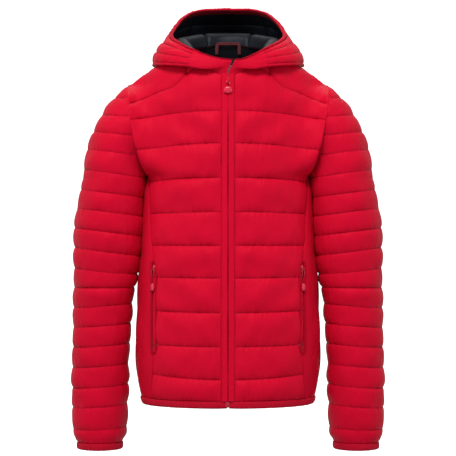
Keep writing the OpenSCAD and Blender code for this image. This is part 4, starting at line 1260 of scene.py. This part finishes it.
def build_pocket(side, sign):
    """One slanting pocket zip: folded lips, tape, coil, end bar, slider and its cord pull with a moulded
    end."""
    flip = lambda p: on_pocket(p) * [sign, 1, 1]
    tape = strip("pocket_tape_" + side, -10.5, 10.5, -POCKET_RUN - 6, 4, 3.7, 4.4, flip, material("tape"),
                 12, 3, 0.12)
    if sign < 0:
        tape.data.flip_normals()
    on(tape, ROOT, "tape_red", "pocket_tape_" + side)
    turns = [coil(-POCKET_RUN, -3, bpy.context.scene.jacket_zips.pitch, 3.4, 2.4, 0.1)]
    turns.append((turns[0][0] * [-1, 1, 1], turns[0][1]))
    points, faces = merge(turns + [block(-2.5, 2.5, 2.4, 4.4, -POCKET_RUN - 2.6, -POCKET_RUN + 0.4)])
    teeth = new_mesh("pocket_coil_" + side, flip(points), faces, [material("teeth")])
    on(loose_uv(fix_faces(teeth)), ROOT, "teeth_red", "pocket_teeth_" + side)
    a = np.linspace(0, 2 * np.pi, 14, endpoint=False)
    z = np.linspace(-POCKET_RUN - 5, 5, 120)
    for k, edge in ((0, -1), (1, 1)):
        t = (z - z[0]) / (z[-1] - z[0])
        gap = 0.5 + 2.9 * np.clip(np.minimum(t, 1 - t) * 18, 0, 1) ** 0.6
        wave = waves(np.stack([z * 0, z * 0, z], -1), 34, 5 + k) * 0.35
        thick = 1.35 + 0.2 * waves(np.stack([z * 0, z * 0, z], -1), 12, 8 + k)
        ring = np.stack([edge * (gap + 2.4)[:, None] + wave[:, None] + 2.4 * np.cos(a),
                         0.6 + thick[:, None] * np.sin(a),
                         z[:, None] + 0 * a], -1)
        last = (len(z) - 1) * len(a)
        quads = grid_quads(len(z), len(a), True).tolist()
        quads += [list(range(len(a)))[::-1], list(range(last, last + len(a)))]
        lip = new_mesh("pocket_lip_%s_%d" % (side, k), flip(ring.reshape(-1, 3)), quads, [material("plain")])
        loose_uv(fix_faces(lip))
        on(lip, ROOT, "shell_red")
    slider = hard("pocket_slider_" + side + "_body", slider_shape(4, 12, 0.9, -2.4),
                  lambda p: flip(p + [0, 0, POCKET_SLIDER_Z]), "slider", 0.2)
    on(slider, "pocket_slider_" + side, "slider_red", "pocket_slider_" + side)
    hang = on_pivot(flip, POCKET_PIVOT)
    cord = hard("pocket_cord_" + side, pull_cord(2.6, 29, 0.95), hang, "cord", 0)
    end = hard("pocket_pull_end_" + side,
               flat_outline([(-2.4, -42.4), (2.4, -42.4), (4.5, -39), (4.5, -35), (3.4, -27), (-3.4, -27),
                                                        (-4.5, -35), (-4.5, -39)], -2.3, 2.1, 2), hang,
                                                        "grip", 0)
    on(cord, "pocket_pull_" + side, "cord_red", "pocket_pull_" + side)
    on(end, "pocket_pull_" + side, "cord_red", "pocket_pull_" + side)
    bag_u, bag_v = np.linspace(0, 1, 30), np.linspace(0, 1, 60)[:, None]
    x = mix(POCKET_X - 106, POCKET_X - 14, bag_u) + 0 * bag_v
    z = mix(POCKET_LOW - 60, POCKET_TOP + 13, bag_v) + 0 * bag_u
    points = front_point(x, z)
    n = normals(points, False)
    soft = waves(points, 40, 9)[..., None] * 0.6
    bag = padded_form("pocket_lining_" + side, points - n * (9.0 + soft), points - n * (9.8 + soft), False,
                      [material("lining"), material("lining")])
    if sign < 0:
        twin = mirrored(bag, "pocket_lining_right_side")
        bpy.data.objects.remove(bag)
        bag = twin
    on(bag, ROOT, "lining_black", "pocket_bag_" + side)


def build_trims():
    """Hanging loop of woven tape at the back of the neck, the blank neck label and the blank care label."""
    a = np.linspace(0, 1, 60)[:, None]
    w = np.linspace(-3, 3, 7)
    path_x = np.interp(a, [0, 0.08, 0.28, 0.72, 0.92, 1], [-23, -23, -22, 22, 23, 23])
    path_z = np.interp(a, [0, 0.08, 0.28, 0.72, 0.92, 1], [-22, -14, 0, 0, -14, -22])
    for _ in range(4):
        path_x[1:-1] = (path_x[:-2] + path_x[2:] + 2 * path_x[1:-1]) / 4
        path_z[1:-1] = (path_z[:-2] + path_z[2:] + 2 * path_z[1:-1]) / 4
    tx, tz = np.gradient(path_x[:, 0]), np.gradient(path_z[:, 0])
    length = np.hypot(tx, tz)
    side = np.stack([-tz / length, 0 * tx, tx / length], -1)
    mid = np.concatenate([path_x, 0 * path_x, path_z + 3], 1)
    points = mid[:, None] + side[:, None] * w[None, :, None]
    points[..., 1] += 0.15 * np.cos(w)
    front = points + [0, -0.75, 0]
    rear = points + [0, 0.75, 0]
    loop = padded_form("hanger_loop", front, rear, False, [material("loop"), material("loop")])
    fix_faces(loop)
    on(loop, ROOT, "cord_red", "hanging_loop")
    for name, x0, x1, z0, z1, mat, slot in (("neck_label_cloth", -21, 21, -65, -35, "label_grey",
                                             "label_grey"),
                                            ("care_label_cloth", 84, 120, ARMPIT_Z - 330, ARMPIT_Z - 270,
                                             "label_white", "label_white")):
        u, v = np.linspace(0, 1, 24), np.linspace(0, 1, 24)[:, None]
        x, z = mix(x1, x0, u) + 0 * v, mix(z0, z1, v) + 0 * u
        p = back_point(np.abs(x), z)
        p[..., 0] = x
        n = normals(p, False)
        soft = waves(p, 30, 13)[..., None] * 0.5
        label = padded_form(name, p - n * (11.6 + soft), p - n * (12.4 + soft), False,
                            [material(mat), material(mat)])
        on(label, ROOT, slot, name.replace("_cloth", ""))


def pair(thing, right_name):
    """A left piece and its reflected right one."""
    return thing, mirrored(thing, right_name)


# ---------------------------------------------------------------- settings shown in the panel
class JacketColours(PropertyGroup):
    shell: FloatVectorProperty(name="Shell", description="Colour of the outer cloth",
                               default=(0.66, 0.004, 0.028), subtype="COLOR", min=0, max=1)
    lining: FloatVectorProperty(name="Lining", description="Colour of the lining",
                                default=(0.008, 0.009, 0.012), subtype="COLOR", min=0, max=1)
    grip: FloatVectorProperty(name="Grip", description="Colour of the moulded pulls",
                              default=(0.72, 0.012, 0.055), subtype="COLOR", min=0, max=1)
    box: FloatVectorProperty(name="Box", description="Colour of the retainer box",
                             default=(0.5, 0.012, 0.036), subtype="COLOR", min=0, max=1)


class JacketQuilting(PropertyGroup):
    height: FloatProperty(name="Puff height",
                          description="Rise of a full channel above its stitches in millimetres",
                          default=6.2, min=2, max=16)
    roundness: FloatProperty(name="Roundness",
                             description="Power of the channel's section; lower is fuller", default=0.52,
                             min=0.3, max=1.0)
    pucker: FloatProperty(name="Puckers",
                          description="Depth of the puckers beside the stitches in millimetres",
                          default=2.2, min=0, max=3)
    slack: FloatProperty(name="Slack", description="Depth of the loose creases in the cloth in millimetres",
                         default=1.5, min=0, max=3)


class JacketZips(PropertyGroup):
    pitch: FloatProperty(name="Coil pitch", description="Distance from tooth to tooth in millimetres",
                         default=1.9, min=1, max=4)


class JacketStage(PropertyGroup):
    distance: FloatProperty(name="Camera distance", description="From the camera to the jacket's middle",
                            default=3.2, unit="LENGTH", min=1)
    lens: FloatProperty(name="Lens", description="Focal length in millimetres", default=126.3, min=20)
    key: FloatProperty(name="Key light", description="Power of the large soft light in watts", default=76.0,
                       min=0)
    fill: FloatProperty(name="Surround", description="Strength of the even white surround", default=0.40,
                        min=0)


# ---------------------------------------------------------------- operators
class JACKET_OT_stage(Operator):
    """Camera, soft lights and a round white floor that curves up into a wall"""
    bl_idname = "jacket.stage"
    bl_label = "Stage"

    def execute(self, context):
        s = context.scene.jacket_stage
        centre = np.array([0.0, MID_Y, -372.0]) * MM
        cam = bpy.data.cameras.new("camera")
        cam.lens, cam.sensor_width = s.lens, 36
        eye = bpy.data.objects.new("camera", cam)
        eye.location = (centre[0], centre[1] - s.distance, centre[2])
        eye.rotation_euler = (math.pi / 2, 0, 0)
        context.scene.collection.objects.link(eye)
        context.scene.camera = eye
        for name, at, size, power, look in (("key", (-0.45, -2.3, 2.1), 1.3, s.key, -0.38),
                                            ("left_fill", (-2.4, -1.3, 0.2), 1.6, s.key * 0.14, -0.4),
                                            ("right_fill", (2.4, -1.3, 0.2), 1.6, s.key * 0.14, -0.4),
                                            ("top", (0, 0.9, 2.0), 1.8, s.key * 0.17, -0.2)):
            lamp = bpy.data.lights.new(name, "AREA")
            lamp.shape, lamp.size, lamp.energy = "DISK", size, power
            place = bpy.data.objects.new(name, lamp)
            place.location = at
            d = np.array([0, MID_Y * MM, look]) - np.array(at)
            place.rotation_euler = look_angles(d)
            context.scene.collection.objects.link(place)
        context.scene.view_settings.view_transform = "Standard"
        world = bpy.data.worlds.new("surround")
        world.use_nodes = True
        context.scene.world = world
        back = [n for n in world.node_tree.nodes if n.type == "BACKGROUND"][0]
        back.inputs["Color"].default_value = (1, 1, 1, 1)
        back.inputs["Strength"].default_value = s.fill
        # A turned profile: a flat disc of radius 4.6 m, then a quarter bend of radius 1.2 m that
        # runs up into a wall.
        t = np.linspace(0, 1, 48)[:, None]
        bend = np.clip((t - 0.4) / 0.3, 0, 1) * np.pi / 2
        r = 4.6 * np.clip(t / 0.4, 0, 1) + 1.2 * np.sin(bend)
        z = 1.2 * (1 - np.cos(bend)) + np.clip(t - 0.7, 0, 1) * 15 - 0.95
        turn = np.linspace(0, 2 * np.pi, 97)[None]
        points = np.stack([r * np.cos(turn), r * np.sin(turn), z + 0 * turn], -1) / MM
        floor = new_mesh("backdrop", points.reshape(-1, 3), grid_quads(48, 97, False), [backdrop_paint()])
        floor.visible_glossy = floor.visible_diffuse = False
        return {"FINISHED"}


def look_angles(d):
    """Euler angles that turn a light's or camera's -Z axis along d."""
    return Vector(d).to_track_quat("-Z", "Y").to_euler()


class JACKET_OT_fronts(Operator):
    """Both quilted fronts"""
    bl_idname = "jacket.fronts"
    bl_label = "Fronts"

    def execute(self, context):
        for side, thing in zip(("left", "right"), pair(front_half(), "front_right")):
            on(thing, ROOT, "shell_red", "front_panel_" + side, "front_wadding_" + side,
               "front_lining_" + side)
        return {"FINISHED"}


class JACKET_OT_back(Operator):
    """Quilted back with its yoke line"""
    bl_idname = "jacket.back"
    bl_label = "Back"

    def execute(self, context):
        on(back_whole(), ROOT, "shell_red", "back_panel", "back_wadding", "back_lining")
        return {"FINISHED"}


class JACKET_OT_sides(Operator):
    """Plain side panels"""
    bl_idname = "jacket.sides"
    bl_label = "Side panels"

    def execute(self, context):
        for side, thing in zip(("left", "right"), pair(side_panel(), "side_right")):
            on(thing, ROOT, "shell_red", "side_panel_" + side, "side_lining_" + side)
        return {"FINISHED"}


class JACKET_OT_bindings(Operator):
    """Gathered elastic at the hem and cuffs"""
    bl_idname = "jacket.bindings"
    bl_label = "Hem and cuffs"

    def execute(self, context):
        on(hem_band(), ROOT, "binding_red", "hem_binding")
        for side, thing in zip(("left", "right"), pair(cuff_band(), "cuff_right")):
            on(thing, "sleeve_" + side, "binding_red", "cuff_binding_" + side)
        return {"FINISHED"}


class JACKET_OT_sleeves(Operator):
    """Quilted sleeves, baked in place"""
    bl_idname = "jacket.sleeves"
    bl_label = "Sleeves"

    def execute(self, context):
        for side, sign, thing in zip(("left", "right"), (1, -1), pair(sleeve_whole(), "sleeve_right_cloth")):
            "sleeve_" + side
            sign * 0.162
            MID_Y * MM
            sign * 0.250
            MID_Y * MM
            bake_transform(thing)
            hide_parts("sleeve_cap_" + side, "sleeve_" + side, "sleeve_wadding_" + side,
                        "sleeve_lining_" + side)
        return {"FINISHED"}


class JACKET_OT_hood(Operator):
    """Quilted hood and its gathered rim"""
    bl_idname = "jacket.hood"
    bl_label = "Hood"

    def execute(self, context):
        on(hood_whole(), ROOT, "shell_red", "hood_panel_left", "hood_panel_right",
                     "hood_centre_panel", "hood_wadding", "hood_lining")
        on(hood_rim(), ROOT, "binding_red", "hood_binding")
        return {"FINISHED"}


class JACKET_OT_front_zip(Operator):
    """Front zip: tapes, coils, stops, box, pin and guard strip"""
    bl_idname = "jacket.front_zip"
    bl_label = "Front zip"

    def execute(self, context):
        build_front_zip()
        return {"FINISHED"}


class JACKET_OT_slider(Operator):
    """Front slider, its loop and grip"""
    bl_idname = "jacket.slider"
    bl_label = "Front slider"

    def execute(self, context):
        build_main_slider()
        return {"FINISHED"}


class JACKET_OT_pockets(Operator):
    """Pocket zips, lips, pulls and bags"""
    bl_idname = "jacket.pockets"
    bl_label = "Pockets"

    def execute(self, context):
        build_pocket("left", 1)
        build_pocket("right", -1)
        return {"FINISHED"}


class JACKET_OT_trims(Operator):
    """Hanging loop and blank labels"""
    bl_idname = "jacket.trims"
    bl_label = "Loop and labels"

    def execute(self, context):
        build_trims()
        return {"FINISHED"}


STEPS = (JACKET_OT_stage, JACKET_OT_fronts, JACKET_OT_back, JACKET_OT_sides, JACKET_OT_bindings,
         JACKET_OT_sleeves, JACKET_OT_hood,
         JACKET_OT_front_zip, JACKET_OT_slider, JACKET_OT_pockets, JACKET_OT_trims)
GROUPS = {"jacket_colours": JacketColours, "jacket_quilting": JacketQuilting, "jacket_zips": JacketZips,
          "jacket_stage": JacketStage}


class JACKET_PT_panel(Panel):
    """Settings and building steps of the jacket"""
    bl_label = "Quilted ski jacket"
    bl_idname = "JACKET_PT_panel"
    bl_space_type = "VIEW_3D"
    bl_region_type = "UI"
    bl_category = "Jacket"

    def draw(self, context):
        for key, group in GROUPS.items():
            box = self.layout.box()
            for name in group.__annotations__:
                box.prop(getattr(context.scene, key), name)
        for step in STEPS:
            self.layout.operator(step.bl_idname)


def register():
    for cls in (*GROUPS.values(), *STEPS, JACKET_PT_panel):
        bpy.utils.register_class(cls)
    for key, group in GROUPS.items():
        setattr(bpy.types.Scene, key, PointerProperty(type=group))


def unregister():
    for key in GROUPS:
        delattr(bpy.types.Scene, key)
    for cls in reversed((*GROUPS.values(), *STEPS, JACKET_PT_panel)):
        bpy.utils.unregister_class(cls)


def main():
    """Registers the add-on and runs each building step."""
    register()
    for step in STEPS:
        group, name = step.bl_idname.split(".")
        if getattr(getattr(bpy.ops, group), name)() != {"FINISHED"}:
            raise RuntimeError("step not finished: " + step.bl_idname)
    bpy.context.view_layer.update()


if __name__ == "__main__":
    main()
